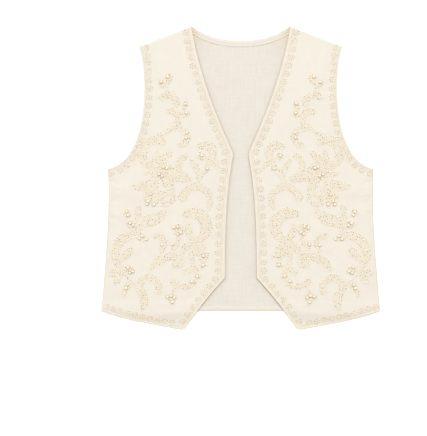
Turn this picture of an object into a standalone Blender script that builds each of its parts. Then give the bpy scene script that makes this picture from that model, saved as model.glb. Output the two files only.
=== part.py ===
"""Embroidered waistcoat, laid flat with its front up.

The garment lies on its back on the plane z = 0. +X is the wearer's left, +Y runs up to the neck,
and +Z is up. The origin is at the middle of the garment's outline, on the floor. Plan sizes are
written in millimetres, as the distance out from the centre line and the height above the
garment's middle, for the wearer's left front, and the right front is its mirror image.
"""
import math
from collections import namedtuple

import bpy
import numpy as np
from mathutils import Vector
from mathutils.geometry import delaunay_2d_cdt

MM = 0.001

# ---- driving sizes, in millimetres ----
BACK_THICK = 1.2            # the back's cloth
FRONT_THICK = 1.5           # a front, cloth and backing
SEAM_GAP = 0.3              # between two pieces that are sewn together
HEM_FOLD = 0.6              # how far the back's turned hem stands above its inner face
HEM_WIDTH = 9.4             # the turned hem's depth
HEM_STEP = 0.8              # the width of the hem's slope
NECK_BAND_WIDTH = 9.4       # the facing strip inside the back neck
NECK_BAND_THICK = 1.0
BINDING_WIDTH = 2.6         # the rolled edge
BINDING_RISE = 0.55         # how far the rolled edge stands above the cloth it holds
EMBROIDERY_RISE = 0.9       # the stitched pads above the cloth
EMBROIDERY_SLOPE = 1.6      # the width of a pad's rounded edge
ROSETTE_RADIUS = 5.5        # the small round rosettes along the edges
ROSETTE_RISE = 0.8
DOT_SIDES = 8               # sides of a rosette or a pad
DOT_TOP = 0.55              # the share of its radius that is level on top
DOT_TURN = 0.3              # the angle of its first corner
STROKE_PITCH = 7.5          # length of one side of a pad's outline
NARROWEST = 1.2             # a pad thinner than this on top has a single ridge
PAD_END = 0.35              # half the width of a pad's top where it runs out
SPINE_STEPS = 40            # samples along a pad's middle line, for its height
BURIED = 0.95               # a line is left out where other pads stand this share of full height
RIM_CLEAR = 0.8             # how far the raised work stays from a panel's edge
SEAM_ROUND = 1.6            # the top face rolls down over this width along a seam
SEAM_ROLL = 0.5
BODY_LOFT = 2.4             # how far a front stands off the back away from its seams
LOFT_REACH = 70.0           # over this distance from a seam
EDGE_SETTLE = 1.1           # how far the loft drops again towards a free edge
SETTLE_REACH = 40.0
FOLD_FREE_FADE = 18.0       # the folds die out over this towards a free edge
FOLD_SEAM_FADE = 10.0       # and over this towards a seam
HEM_CLIMB = 7.0             # the fronts climb onto the back's turned hem over this
HEM_CLEAR = 2.0             # and have done so this far before it
HEM_DROP = 1.0              # this far past the back's hem they start down to the floor
FLOOR_REACH = 24.0          # and reach it over this
FRONT_PITCH = 21.0          # spacing of the plain points that carry the fronts' soft folds
BACK_PITCH = 44.0           # and of those of the back
FILL_CLEAR = 5.5            # and how far they stay from other points
MERGE = 0.25                # points of one face closer than this are one point
HEM_LINE_POINTS = 22        # along each line of the turned hem
HEM_LINE_CLEAR = 1.5        # between those lines' ends and the side seams
BAND_SAMPLES = 60           # along half of the neck band
BAND_SET_IN = 0.4           # between the neck's edge and the band
BAND_CLEAR = 0.6            # between the band's ends and the fronts
SHARP_ANGLE = 38.0          # degrees between two faces that meet in an edge

BACK_HEM_Y = -231.6
BACK_NECK_Y = 238.2

# ---- the outline of one front: cubic curves, end to end, anticlockwise ----
# columns: name, start x y, first handle x y, second handle x y, steps, round (radius at its end)
Edge = namedtuple("Edge", "name x0 y0 x1 y1 x2 y2 steps round")
FRONT_EDGES = (
    Edge("neck", 86.1, 262.9, 73.8, 185.7, 45.7, 111.5, 12, 7.0),
    Edge("front", 12.7, 40.6, 26.8, -30.0, 27.2, -103.0, 11, 3.0),
    Edge("slant", 27.7, -175.1, 47.0, -196.0, 75.0, -228.0, 6, 6.0),
    Edge("hem", 98.0, -265.4, 146.5, -257.4, 196.1, -248.7, 10, 0.0),
    Edge("side", 242.6, -231.4, 235.9, -149.5, 227.4, -67.3, 10, 0.0),
    Edge("armhole", 231.1, 15.2, 158.8, 30.3, 161.0, 179.9, 14, 0.0),
    Edge("shoulder", 177.0, 227.7, 146.7, 238.9, 116.5, 251.6, 6, 0.0),
)
SEAMS = ("side", "shoulder")
BOUND_RUN = ("neck", "front", "slant", "hem")
ARMHOLE_RUN = ("armhole",)
BACK_NECK = (30.8, 237.9, 61.4, 245.2)      # the two handles of half the back neck's curve
BACK_NECK_STEPS = 10
BACK_HEM_STEPS = 10

# ---- rosettes: rows set in from an edge, from one length along it to another ----
Row = namedtuple("Row", "edge inset start end count")
ROSETTE_ROWS = (
    Row("neck", 12.0, 9.4, 225.5, 16),
    Row("front", 12.6, 15.7, 204.1, 13),
    Row("slant", 10.8, 12.3, 104.5, 7),
    Row("hem", 9.2, 23.3, 142.5, 10),
    Row("armhole", 10.0, 3.8, 42.9, 4),
    Row("armhole", 9.6, 53.4, 63.4, 2),
    Row("armhole", 9.2, 76.9, 119.4, 4),
    Row("armhole", 9.6, 134.6, 208.3, 6),
    Row("armhole", 10.8, 219.5, 232.6, 2),
)
ROW_SAMPLES = 160           # points of the curve that a row is measured along

# ---- embroidery of one front: round-ended strokes along an arc through three points ----
# columns: start x y, middle x y, end x y, half width at each of them
Stroke = namedtuple("Stroke", "x0 y0 x1 y1 x2 y2 w0 w1 w2")
STROKES = {
    # spray below the shoulder
    "crown_bud": Stroke(126, 179, 125, 172, 127, 163, 3.4, 6.4, 3.0),
    "crown_leaf": Stroke(141, 169, 137, 163, 132, 157, 3.4, 5.0, 2.6),
    "crown_stem": Stroke(128, 162, 129, 157, 127, 150, 1.6, 1.4, 1.8),
    "crown_hook": Stroke(137, 139, 121, 143, 112, 126, 5.4, 5.9, 4.8),
    "twin_bud_up": Stroke(94, 132, 97, 126, 98, 119, 3.4, 5.0, 3.6),
    "twin_bud_low": Stroke(106, 106, 97, 110, 90, 112, 2.4, 5.4, 4.0),
    "neck_curl": Stroke(126, 115, 110, 110, 113, 92, 4.8, 6.2, 6.2),
    "neck_tail": Stroke(113, 94, 126, 82, 148, 71, 6.0, 3.6, 4.4),
    "neck_hook": Stroke(113, 83, 93, 73, 105, 57, 2.6, 5.2, 4.8),
    # large flower at the chest
    "crest": Stroke(137, 63, 164, 60, 160, 22, 7.2, 8.8, 7.0),
    "crest_leaf": Stroke(123, 42, 130, 38, 139, 32, 4.6, 6.4, 4.4),
    "crest_bud": Stroke(145, 47, 147, 38, 142, 27, 3.0, 4.4, 3.0),
    "crest_fill": Stroke(148, 38, 149, 28, 143, 16, 4.6, 6.6, 6.0),
    "petal_side": Stroke(167, 7, 157, 6, 144, 3, 3.0, 5.2, 4.0),
    "heart": Stroke(158, 20, 130, 5, 88, -2, 6.4, 8.4, 5.0),
    "comma": Stroke(96, 38, 107, 22, 92, -2, 4.8, 5.5, 6.5),
    "petal_low": Stroke(136, -2, 126, -12, 120, -26, 4.0, 8.2, 4.0),
    "petal_mid": Stroke(143, -2, 148, -14, 145, -30, 3.0, 5.0, 3.0),
    "petal_in": Stroke(122, -22, 118, -34, 122, -45, 3.0, 5.0, 3.0),
    "cup": Stroke(148, -34, 132, -46, 117, -40, 3.0, 4.6, 3.0),
    "side_leaf": Stroke(148, -6, 170, -14, 190, -17, 4.0, 8.4, 2.4),
    # scrolls beside the neck edge
    "inner_leaf": Stroke(87, 32, 79, 20, 73, 5, 2.6, 5.4, 3.4),
    "inner_stem": Stroke(75, 8, 74, -1, 77, -12, 3.0, 3.4, 4.4),
    "breast_scroll": Stroke(72, 53, 56, 55, 54, 31, 5.6, 7.6, 5.0),
    "breast_stem": Stroke(54, 31, 49, 24, 42, 22, 2.0, 2.0, 2.4),
    # great scrolls along the front edge
    "mid_scroll": Stroke(101, -36, 84, -16, 58, -49, 6.6, 6.8, 4.4),
    "great_scroll": Stroke(94, -63, 65, -70, 78, -109, 7.4, 10.6, 6.0),
    "great_leaf": Stroke(91, -80, 90, -94, 81, -109, 3.8, 6.6, 4.0),
    # broad leaf and side scroll
    "wide_leaf": Stroke(131, -55, 153, -73, 175, -76, 2.2, 11.0, 7.4),
    "wide_hook": Stroke(173, -82, 179, -66, 176, -51, 7.0, 5.4, 4.6),
    "side_scroll": Stroke(172, -102, 210, -111, 212, -153, 4.6, 8.6, 4.8),
    "side_bud": Stroke(200, -138, 195, -131, 190, -125, 4.4, 6.6, 4.4),
    "sprig_hook": Stroke(147, -101, 135, -105, 135, -122, 5.4, 5.4, 4.0),
    "sprig_leaf": Stroke(106, -105, 112, -113, 119, -120, 2.8, 5.0, 3.6),
    # flower above the side hem
    "low_petal_a": Stroke(209, -163, 218, -166, 228, -167, 3.4, 6.0, 3.4),
    "low_petal_b": Stroke(210, -166, 214, -175, 220, -184, 3.2, 5.2, 2.8),
    "low_petal_c": Stroke(208, -159, 200, -159, 191, -162, 2.4, 4.2, 5.0),
    "low_stem": Stroke(208, -164, 197, -174, 185, -185, 1.8, 1.8, 2.4),
    "low_leaf": Stroke(187, -184, 198, -191, 204, -206, 3.4, 5.6, 3.0),
    # palm in the middle
    "palm_scroll": Stroke(157, -160, 136, -142, 107, -137, 3.0, 6.0, 6.4),
    "palm_curl": Stroke(105, -136, 103, -147, 111, -154, 6.4, 6.4, 5.0),
    # sprays along the front edge
    "edge_stem": Stroke(79, -110, 85, -130, 82, -154, 4.0, 3.4, 3.2),
    "edge_leaf": Stroke(92, -113, 96, -122, 94, -131, 2.6, 4.6, 3.0),
    "edge_petal_a": Stroke(78, -127, 70, -122, 62, -119, 3.4, 5.0, 3.2),
    "edge_petal_b": Stroke(77, -132, 68, -135, 58, -136, 3.4, 6.0, 5.0),
    "edge_petal_c": Stroke(79, -138, 73, -143, 67, -149, 2.8, 4.2, 5.4),
    "edge_tail_a": Stroke(82, -153, 86, -162, 94, -166, 3.2, 2.6, 4.6),
    "edge_tail_b": Stroke(82, -153, 78, -162, 75, -171, 2.6, 2.8, 4.6),
    "hand_leaf": Stroke(82, -181, 101, -189, 118, -179, 5.4, 4.9, 4.8),
    "hand_tail_a": Stroke(110, -186, 118, -195, 128, -205, 3.6, 2.8, 4.8),
    "hand_tail_b": Stroke(109, -188, 112, -200, 118, -213, 3.0, 3.2, 4.8),
    # scroll above the hem
    "foot_scroll": Stroke(144, -198, 156, -174, 177, -192, 5.8, 6.4, 7.0),
    "foot_leaf": Stroke(177, -192, 168, -212, 172, -231, 6.8, 7.8, 1.8),
    "foot_bud": Stroke(186, -182, 182, -190, 174, -198, 2.0, 3.4, 4.0),
}

# ---- round pads under the pearls: centre x y, radius ----
Pad = namedtuple("Pad", "x y radius")
PADS = (
    Pad(95, 111, 5.0), Pad(66, 36, 5.6), Pad(58, 16, 5.6), Pad(133, -29, 4.4),
    Pad(158, -38, 8.6), Pad(67, -149, 6.4), Pad(94, -165, 5.0), Pad(191, -161, 6.6),
    Pad(197, -62, 6.8), Pad(191, -81, 6.4), Pad(108, -90, 9.4), Pad(168, -106, 6.0),
)

# ---- soft folds of the fronts: from x y to x y, half width and height, on which front ----
Fold = namedtuple("Fold", "side x0 y0 x1 y1 width height")
FOLDS = (
    Fold("both", 226, -12, 172, -34, 11, 1.3),
    Fold("both", 228, -62, 190, -72, 9, 0.8),
    Fold("left", 214, -96, 224, -206, 13, 1.0),
    Fold("right", 216, -120, 222, -214, 12, 1.2),
    Fold("both", 150, 222, 112, 120, 17, 1.2),
    Fold("left", 60, 130, 46, -20, 12, 0.9),
    Fold("right", 66, 150, 44, -34, 13, 0.8),
    Fold("right", 120, -70, 140, -226, 18, 1.1),
    Fold("left", 132, -60, 116, -236, 19, 1.1),
)

# ---- colours, as red, green and blue parts of 255 ----
FRONT_CLOTH = (245, 238, 224)
BACK_CLOTH = (239, 233, 220)
BAND_CLOTH = (243, 236, 223)
BINDING_CLOTH = (247, 239, 224)
CLOTH_ROUGHNESS = 0.9


# ---- plane curves ----

def cubic(p0, p1, p2, p3, steps):
    """Points of a cubic curve, without its last one."""
    t = np.linspace(0.0, 1.0, steps + 1)[:-1, None]
    p0, p1, p2, p3 = (np.asarray(p, float) for p in (p0, p1, p2, p3))
    return (1 - t) ** 3 * p0 + 3 * (1 - t) ** 2 * t * p1 + 3 * (1 - t) * t ** 2 * p2 + t ** 3 * p3


def rounded(before, corner, after, radius):
    """Three points that round a corner off, on the curve that has it as its handle."""
    a = corner + (before - corner) * radius / np.linalg.norm(before - corner)
    b = corner + (after - corner) * radius / np.linalg.norm(after - corner)
    return [a, (a + 2.0 * corner + b) / 4.0, b]


def front_outline():
    """The front's outline, and the name of the edge that each of its sides belongs to."""
    curves = []
    for edge, following in zip(FRONT_EDGES, FRONT_EDGES[1:] + FRONT_EDGES[:1]):
        start, end = (edge.x0, edge.y0), (following.x0, following.y0)
        curves.append(cubic(start, (edge.x1, edge.y1), (edge.x2, edge.y2), end, edge.steps))
    points, names = [], []
    for i, edge in enumerate(FRONT_EDGES):
        arriving = FRONT_EDGES[i - 1]
        if arriving.round:
            corner = rounded(curves[i - 1][-1], curves[i][0], curves[i][1], arriving.round)
            points += corner
            names += [arriving.name] + [edge.name] * 2
        else:
            points.append(curves[i][0])
            names.append(edge.name)
        points += list(curves[i][1:])
        names += [edge.name] * (len(curves[i]) - 1)
    points = np.array(points)
    points[:, 1] -= (points[:, 1].max() + points[:, 1].min()) / 2.0
    return points, names


def back_outline():
    """The back's outline, anticlockwise, and the edge that each of its sides belongs to."""
    front, names = front_outline()
    neck = cubic((0.0, BACK_NECK_Y), BACK_NECK[:2], BACK_NECK[2:], front[0], BACK_NECK_STEPS)
    down = [0] + list(range(len(front) - 1, names.index("side") - 1, -1))
    corner = (front[down[-1]][0], BACK_HEM_Y)
    hem = np.linspace(corner, (0.0, BACK_HEM_Y), BACK_HEM_STEPS + 1)
    # half of it, clockwise from the neck's middle, and where each of its sides belongs
    half = np.concatenate([neck, front[down], hem])
    kinds = ["neck"] * len(neck) + [names[i - 1] for i in down[:-1]] + ["side"]
    kinds += ["hem"] * BACK_HEM_STEPS
    return np.concatenate([half[:0:-1], half[:-1] * (-1.0, 1.0)]), kinds[::-1] + kinds


def inset(points, names, distances):
    """The loop moved in, each side by its own distance, corners mitred."""
    away = np.array([distances.get(name, 0.0) for name in names])
    along = np.roll(points, -1, axis=0) - points
    along /= np.linalg.norm(along, axis=1)[:, None]
    normal = np.stack([-along[:, 1], along[:, 0]], axis=1)
    before, off = np.roll(normal, 1, axis=0), np.roll(away, 1)
    det = before[:, 0] * normal[:, 1] - before[:, 1] * normal[:, 0]
    moved = points + normal * away[:, None]
    bent = np.abs(det) > 1e-3
    n0, n1 = before[bent], normal[bent]
    a0, a1 = off[bent], away[bent]
    dx = (a0 * n1[:, 1] - a1 * n0[:, 1]) / det[bent]
    dy = (a1 * n0[:, 0] - a0 * n1[:, 0]) / det[bent]
    moved[bent] = points[bent] + np.stack([dx, dy], axis=1)
    return moved


def distance_to(points, line, closed=False):
    """The distance from each point to a line of short sides."""
    ends = np.roll(line, -1, axis=0) if closed else line[1:]
    starts = line if closed else line[:-1]
    side = ends - starts
    away = points[:, None] - starts[None]
    t = np.clip((away * side).sum(2) / (side * side).sum(1), 0.0, 1.0)
    return np.linalg.norm(away - t[..., None] * side, axis=2).min(axis=1)


def inside(points, loop):
    """Which points lie inside a loop, by counting the sides that a ray from each crosses."""
    x, y = points[:, 0, None], points[:, 1, None]
    x0, y0 = loop.T
    x1, y1 = np.roll(loop, -1, axis=0).T
    rise = np.where(y1 == y0, 1e-12, y1 - y0)
    crosses = ((y0 > y) != (y1 > y)) & (x < (x1 - x0) * (y - y0) / rise + x0)
    return crosses.sum(axis=1) % 2 == 1


def smooth(t):
    """0 to 1 with level ends."""
    t = np.clip(t, 0.0, 1.0)
    return t * t * (3.0 - 2.0 * t)


# ---- embroidery in plan ----

def spine(stroke, steps):
    """The arc through a stroke's three points, its half widths and its headings."""
    ax, ay, bx, by, cx, cy = stroke[:6]
    d = 2.0 * (ax * (by - cy) + bx * (cy - ay) + cx * (ay - by))
    a2, b2, c2 = ax * ax + ay * ay, bx * bx + by * by, cx * cx + cy * cy
    ux = (a2 * (by - cy) + b2 * (cy - ay) + c2 * (ay - by)) / d
    uy = (a2 * (cx - bx) + b2 * (ax - cx) + c2 * (bx - ax)) / d
    radius = math.hypot(ax - ux, ay - uy)
    start, middle, end = (math.atan2(y - uy, x - ux) for x, y in ((ax, ay), (bx, by), (cx, cy)))
    turn, part = (end - start) % math.tau, (middle - start) % math.tau
    if part > turn:
        turn, part = turn - math.tau, part - math.tau
    s = np.linspace(0.0, 1.0, steps + 1)
    angle = start + turn * s
    points = np.stack([ux + radius * np.cos(angle), uy + radius * np.sin(angle)], axis=1)
    m = part / turn
    first = np.sin(np.clip(s / m, 0, 1) * math.pi / 2)
    last = np.sin(np.clip((1 - s) / (1 - m), 0, 1) * math.pi / 2)
    width = np.where(s < m, stroke.w0 + (stroke.w1 - stroke.w0) * first,
                     stroke.w2 + (stroke.w1 - stroke.w2) * last)
    return points, width, angle + math.copysign(math.pi / 2, turn)


def ring_of(stroke, inward):
    """A stroke's outline, moved in, or its middle line where it is too narrow for that."""
    length = np.hypot(stroke.x1 - stroke.x0, stroke.y1 - stroke.y0)
    length += np.hypot(stroke.x2 - stroke.x1, stroke.y2 - stroke.y1)
    points, width, heading = spine(stroke, int(np.clip(round(length / STROKE_PITCH), 3, 10)))
    if inward and stroke.w1 - inward < NARROWEST:
        return points, False
    width = np.maximum(width - inward, PAD_END)
    across = np.stack([-np.sin(heading), np.cos(heading)], axis=1) * width[:, None]

    def cap(i, turn):
        angle = heading[i] + turn - np.linspace(0.0, math.pi, 4)[1:-1]
        return points[i] + width[i] * np.stack([np.cos(angle), np.sin(angle)], axis=1)

    return np.concatenate([points + across, cap(-1, math.pi / 2), (points - across)[::-1],
                           cap(0, -math.pi / 2)]), True


def row_of(row, rise):
    """Evenly spaced points beside one edge, set in from its curve along its normals."""
    i = [edge.name for edge in FRONT_EDGES].index(row.edge)
    edge, following = FRONT_EDGES[i], FRONT_EDGES[(i + 1) % len(FRONT_EDGES)]
    line = cubic((edge.x0, edge.y0), (edge.x1, edge.y1), (edge.x2, edge.y2),
                 (following.x0, following.y0), ROW_SAMPLES) + (0.0, rise)
    length = np.concatenate([[0.0], np.cumsum(np.linalg.norm(np.diff(line, axis=0), axis=1))])
    along = np.gradient(line, axis=0)
    along /= np.linalg.norm(along, axis=1)[:, None]
    line += row.inset * np.stack([-along[:, 1], along[:, 0]], axis=1)
    at = np.linspace(row.start, row.end, row.count)
    return np.stack([np.interp(at, length, line[:, i]) for i in (0, 1)], axis=1)


class Embroidery:
    """The raised work of one front: its height over the plan, and the lines that carry it."""

    def __init__(self, rise):
        discs = [spine(stroke, SPINE_STEPS)[:2] for stroke in STROKES.values()]
        self.centres = np.concatenate([points for points, _ in discs])
        self.widths = np.concatenate([width for _, width in discs])
        self.owners = np.repeat(np.arange(len(discs)), len(discs[0][0]))
        rosettes = np.concatenate([row_of(row, rise) for row in ROSETTE_ROWS])
        rows = [(x, y, ROSETTE_RADIUS, ROSETTE_RISE) for x, y in rosettes]
        rows += [(pad.x, pad.y, pad.radius, EMBROIDERY_RISE) for pad in PADS]
        self.dots = np.array(rows)

    def stitched(self, points, apart_from=-1):
        """The height of the scrolls and leaves, or of all but one of them."""
        counted = self.owners != apart_from
        away = np.linalg.norm(points[:, None] - self.centres[None, counted], axis=2)
        deep = (self.widths[None, counted] - away).max(axis=1)
        return EMBROIDERY_RISE * np.clip(deep / EMBROIDERY_SLOPE, 0.0, 1.0)

    def height(self, points):
        """The height of all raised work."""
        away = np.linalg.norm(points[:, None] - self.dots[None, :, :2], axis=2)
        slope = (1.0 - away / self.dots[None, :, 2]) / (1.0 - DOT_TOP)
        domes = self.dots[None, :, 3] * np.clip(slope, 0.0, 1.0)
        return np.maximum(self.stitched(points), domes.max(axis=1))

    def lines(self, loop):
        """The pads' outlines and shoulders inside a loop, without what other pads bury."""
        found = []
        for owner, stroke in enumerate(STROKES.values()):
            for inward in (0.0, EMBROIDERY_SLOPE):
                ring, closes = ring_of(stroke, inward)
                clear = inside(ring, loop) & (distance_to(ring, loop, closed=True) > RIM_CLEAR)
                clear &= self.stitched(ring, owner) < BURIED * EMBROIDERY_RISE
                found += unbroken(ring, closes, clear)
        for x, y, radius, _ in self.dots:
            for share, count in ((1.0, DOT_SIDES), (DOT_TOP, DOT_SIDES // 2)):
                angle = np.arange(count) * math.tau / count + DOT_TURN
                around = np.stack([np.cos(angle), np.sin(angle)], axis=1)
                found.append((np.array([x, y]) + share * radius * around, True))
        return found


def unbroken(line, closes, wanted):
    """The stretches of a line whose points are wanted, and whether each closes."""
    if wanted.all():
        return [(line, closes)]
    start = int(np.argmin(wanted)) if closes else 0
    line, wanted = np.roll(line, -start, axis=0), np.roll(wanted, -start)
    cuts = np.flatnonzero(np.diff(np.concatenate([[0], wanted.astype(int), [0]])))
    return [(line[a:b], False) for a, b in cuts.reshape(-1, 2)]


# ---- heights ----

def fold_height(points, side):
    """Soft ridges, round across and fading out at both ends."""
    total = np.zeros(len(points))
    for fold in FOLDS:
        if fold.side in ("both", side):
            start = np.array([fold.x0, fold.y0], float)
            run = np.array([fold.x1, fold.y1], float) - start
            t = ((points - start) @ run) / (run @ run)
            near = np.linalg.norm(points - start - np.clip(t, 0, 1)[:, None] * run, axis=1)
            ends = smooth(np.clip(t, 0, 1) * 4) * smooth((1 - np.clip(t, 0, 1)) * 4)
            total += fold.height * np.exp(-(near / fold.width) ** 2) * ends
    return total


def back_top(y):
    """The back's inner face, with the turned hem."""
    return BACK_THICK + HEM_FOLD * smooth((BACK_HEM_Y + HEM_WIDTH + HEM_STEP - y) / HEM_STEP)


class Front:
    """One front in plan, and the height of its underside."""

    def __init__(self, side):
        self.side = side
        self.outline, self.names = front_outline()
        self.bound = {name: BINDING_WIDTH + SEAM_GAP for name in BOUND_RUN + ARMHOLE_RUN}
        self.panel = inset(self.outline, self.names, self.bound)
        self.work = Embroidery(self.outline[0][1] - FRONT_EDGES[0].y0)

    def edge_line(self, name):
        kept = [i for i, edge in enumerate(self.names) if edge == name]
        return self.outline[np.array(kept + [kept[-1] + 1]) % len(self.outline)]

    def lift(self, points):
        """The underside over the floor: on the back, lofted, and on the floor past its hem."""
        seam = np.minimum.reduce([distance_to(points, self.edge_line(name)) for name in SEAMS])
        free = np.minimum.reduce([distance_to(points, self.edge_line(name))
                                  for name in BOUND_RUN + ARMHOLE_RUN])
        reach = smooth(seam / LOFT_REACH)
        loft = reach * (BODY_LOFT - EDGE_SETTLE * (1.0 - smooth(free / SETTLE_REACH)))
        loft += (fold_height(points, self.side) * smooth(free / FOLD_FREE_FADE)
                 * smooth(seam / FOLD_SEAM_FADE))
        climb_from = BACK_HEM_Y + HEM_WIDTH + HEM_CLEAR + HEM_CLIMB
        over_hem = smooth((climb_from - points[:, 1]) / HEM_CLIMB)
        rest = BACK_THICK + SEAM_GAP + HEM_FOLD * over_hem
        down = smooth((BACK_HEM_Y - HEM_DROP - points[:, 1]) / FLOOR_REACH)
        return (rest + loft) * (1.0 - down)

    def top(self, points):
        """The upper face: the cloth, rolled down along its seams, and the embroidery."""
        seam = np.minimum.reduce([distance_to(points, self.edge_line(name)) for name in SEAMS])
        roll = SEAM_ROLL * (1.0 - smooth(seam / SEAM_ROUND))
        return self.lift(points) + FRONT_THICK - roll + self.work.height(points)


# ---- solids ----

def flat_mesh(loop, lines, fill):
    """Triangles of a plane region that hold every line: points, triangles, the loop's indices."""
    points = list(map(tuple, loop))
    edges = [(i, (i + 1) % len(loop)) for i in range(len(loop))]
    for line, closes in lines:
        first = len(points)
        points += list(map(tuple, line))
        edges += [(first + i, first + i + 1) for i in range(len(line) - 1)]
        if closes:
            edges.append((first + len(line) - 1, first))
    points += list(map(tuple, fill))
    result = delaunay_2d_cdt([Vector(p) for p in points], edges, [], 1, MERGE)
    plan = np.array([(p.x, p.y) for p in result[0]])
    place = {source: new for new, sources in enumerate(result[3]) for source in sources}
    return plan, result[2], [place[i] for i in range(len(loop))]


def fill_points(loop, others, pitch):
    """A staggered grid of plain points inside a loop, clear of all the others."""
    low, high = loop.min(axis=0), loop.max(axis=0)
    rows = []
    for j, y in enumerate(np.arange(low[1], high[1], pitch * 0.87)):
        x = np.arange(low[0] + pitch * 0.5 * (j % 2), high[0], pitch)
        rows.append(np.stack([x, np.full(len(x), y)], axis=1))
    grid = np.concatenate(rows)
    grid = grid[inside(grid, loop)]
    taken = np.concatenate([loop] + others)
    clear = np.linalg.norm(grid[:, None] - taken[None], axis=2).min(axis=1)
    return grid[(clear > FILL_CLEAR) & (distance_to(grid, loop, closed=True) > FILL_CLEAR)]


def add_solid(name, points, faces, colour, mirror):
    """An object from points in millimetres, mirrored for the wearer's right."""
    points = np.asarray(points, float) * MM
    if mirror:
        points[:, 0] *= -1.0
        faces = [tuple(reversed(face)) for face in faces]
    mesh = bpy.data.meshes.new(name)
    mesh.from_pydata(points.tolist(), [], [list(map(int, face)) for face in faces])
    mesh.validate()
    mesh.shade_smooth()
    mesh.set_sharp_from_angle(angle=math.radians(SHARP_ANGLE))
    mesh.materials.append(cloth_material(name, colour))
    obj = bpy.data.objects.new(name, mesh)
    bpy.context.collection.objects.link(obj)
    return obj


def wall(name, loop, top_lines, top_fill, top, under, under_fill, colour, mirror=False):
    """A cloth wall: a top face with its lines, a plain underside, and a rim between them."""
    plan, faces, rim = flat_mesh(loop, top_lines, top_fill)
    low_plan, low_faces, low_rim = flat_mesh(loop, [], under_fill)
    upper = np.column_stack([plan, top(plan)])
    lower = np.column_stack([low_plan, under(low_plan)])
    shift = len(upper)
    solid = [tuple(face) for face in faces]
    solid += [tuple(shift + i for i in reversed(face)) for face in low_faces]
    for a, b in zip(range(len(loop)), list(range(1, len(loop))) + [0]):
        low_a, low_b = shift + low_rim[a], shift + low_rim[b]
        solid += [(low_a, low_b, rim[b]), (low_a, rim[b], rim[a])]
    add_solid(name, np.concatenate([upper, lower]), solid, colour, mirror)


def strip(name, rings, colour, mirror=False):
    """A closed strip through rings of points, one ring for each station along it."""
    rings = np.asarray(rings)
    stations, around = rings.shape[:2]
    faces = [tuple(range(around)),
             tuple((stations - 1) * around + i for i in reversed(range(around)))]
    for s in range(stations - 1):
        for i in range(around):
            a, b = s * around + i, s * around + (i + 1) % around
            faces.append((a, a + around, b + around, b))
    add_solid(name, rings.reshape(-1, 3), faces, colour, mirror)


# ---- pieces ----

def cloth_material(name, colour):
    """A matt cloth of one colour."""
    material = bpy.data.materials.new(name + "_cloth")
    material.use_nodes = True
    shader = material.node_tree.nodes["Principled BSDF"]
    parts = [c / 255.0 for c in colour]
    linear = [c / 12.92 if c <= 0.04045 else ((c + 0.055) / 1.055) ** 2.4 for c in parts]
    shader.inputs["Base Color"].default_value = (*linear, 1.0)
    shader.inputs["Roughness"].default_value = CLOTH_ROUGHNESS
    shader.inputs["Metallic"].default_value = 0.0
    return material


def make_front(front, name, mirror):
    """A front panel, inside its bindings, with the embroidery raised in its upper face."""
    lines = front.work.lines(front.panel)
    roll = inset(front.panel, front.names, {edge: SEAM_ROUND for edge in front.names})
    for edge in SEAMS:
        kept = [i for i, which in enumerate(front.names) if which == edge]
        lines.append((roll[kept], False))
    fill = fill_points(front.panel, [line for line, _ in lines], FRONT_PITCH)
    plain = fill_points(front.panel, [], FRONT_PITCH)
    wall(name, front.panel, lines, fill, front.top, front.lift, plain, FRONT_CLOTH, mirror)


# the rolled edge's section, in shares of its width in from the outline and of its thickness up
BINDING_SECTION = ((0.95, 0.0), (0.35, 0.25), (0.0, 0.5), (0.25, 0.86), (0.65, 1.0), (1.0, 0.9),
                   (1.0, 0.0))


def make_binding(name, outline, names, run, under, thick, mirror):
    """A rolled edge along the named edges of an outline."""
    kept = [i for i, edge in enumerate(names) if edge in run]
    stations = (np.array(kept + [kept[-1] + 1])) % len(outline)
    rings = []
    for across, up in BINDING_SECTION:
        plan = inset(outline, names, {edge: across * BINDING_WIDTH for edge in run})[stations]
        rings.append(np.column_stack([plan, under(plan) + up * thick]))
    strip(name, np.stack(rings, axis=1), BINDING_CLOTH, mirror)


def make_back():
    """The back, flat on the floor, with its turned hem raised in its inner face."""
    outline, names = back_outline()
    loop = inset(outline, names, {"armhole": BINDING_WIDTH + SEAM_GAP})
    half_width = loop[:, 0].max() - HEM_LINE_CLEAR
    across = np.linspace(-half_width, half_width, HEM_LINE_POINTS)
    hem_top = BACK_HEM_Y + HEM_WIDTH
    lines = [(np.column_stack([across, np.full(len(across), y)]), False)
             for y in (hem_top, hem_top + HEM_STEP)]
    fill = fill_points(loop, [line for line, _ in lines], BACK_PITCH)

    def top(points):
        return back_top(points[:, 1])

    wall("back", loop, lines, fill, top, lambda points: np.zeros(len(points)), fill, BACK_CLOTH)


# the neck band's section, in shares of its width in from the neck's edge and of its thickness up
BAND_SECTION = ((1.0, 0.0), (1.0, 0.6), (0.85, 0.92), (0.2, 1.0), (0.05, 0.9), (0.0, 0.55),
                (0.0, 0.0))


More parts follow.
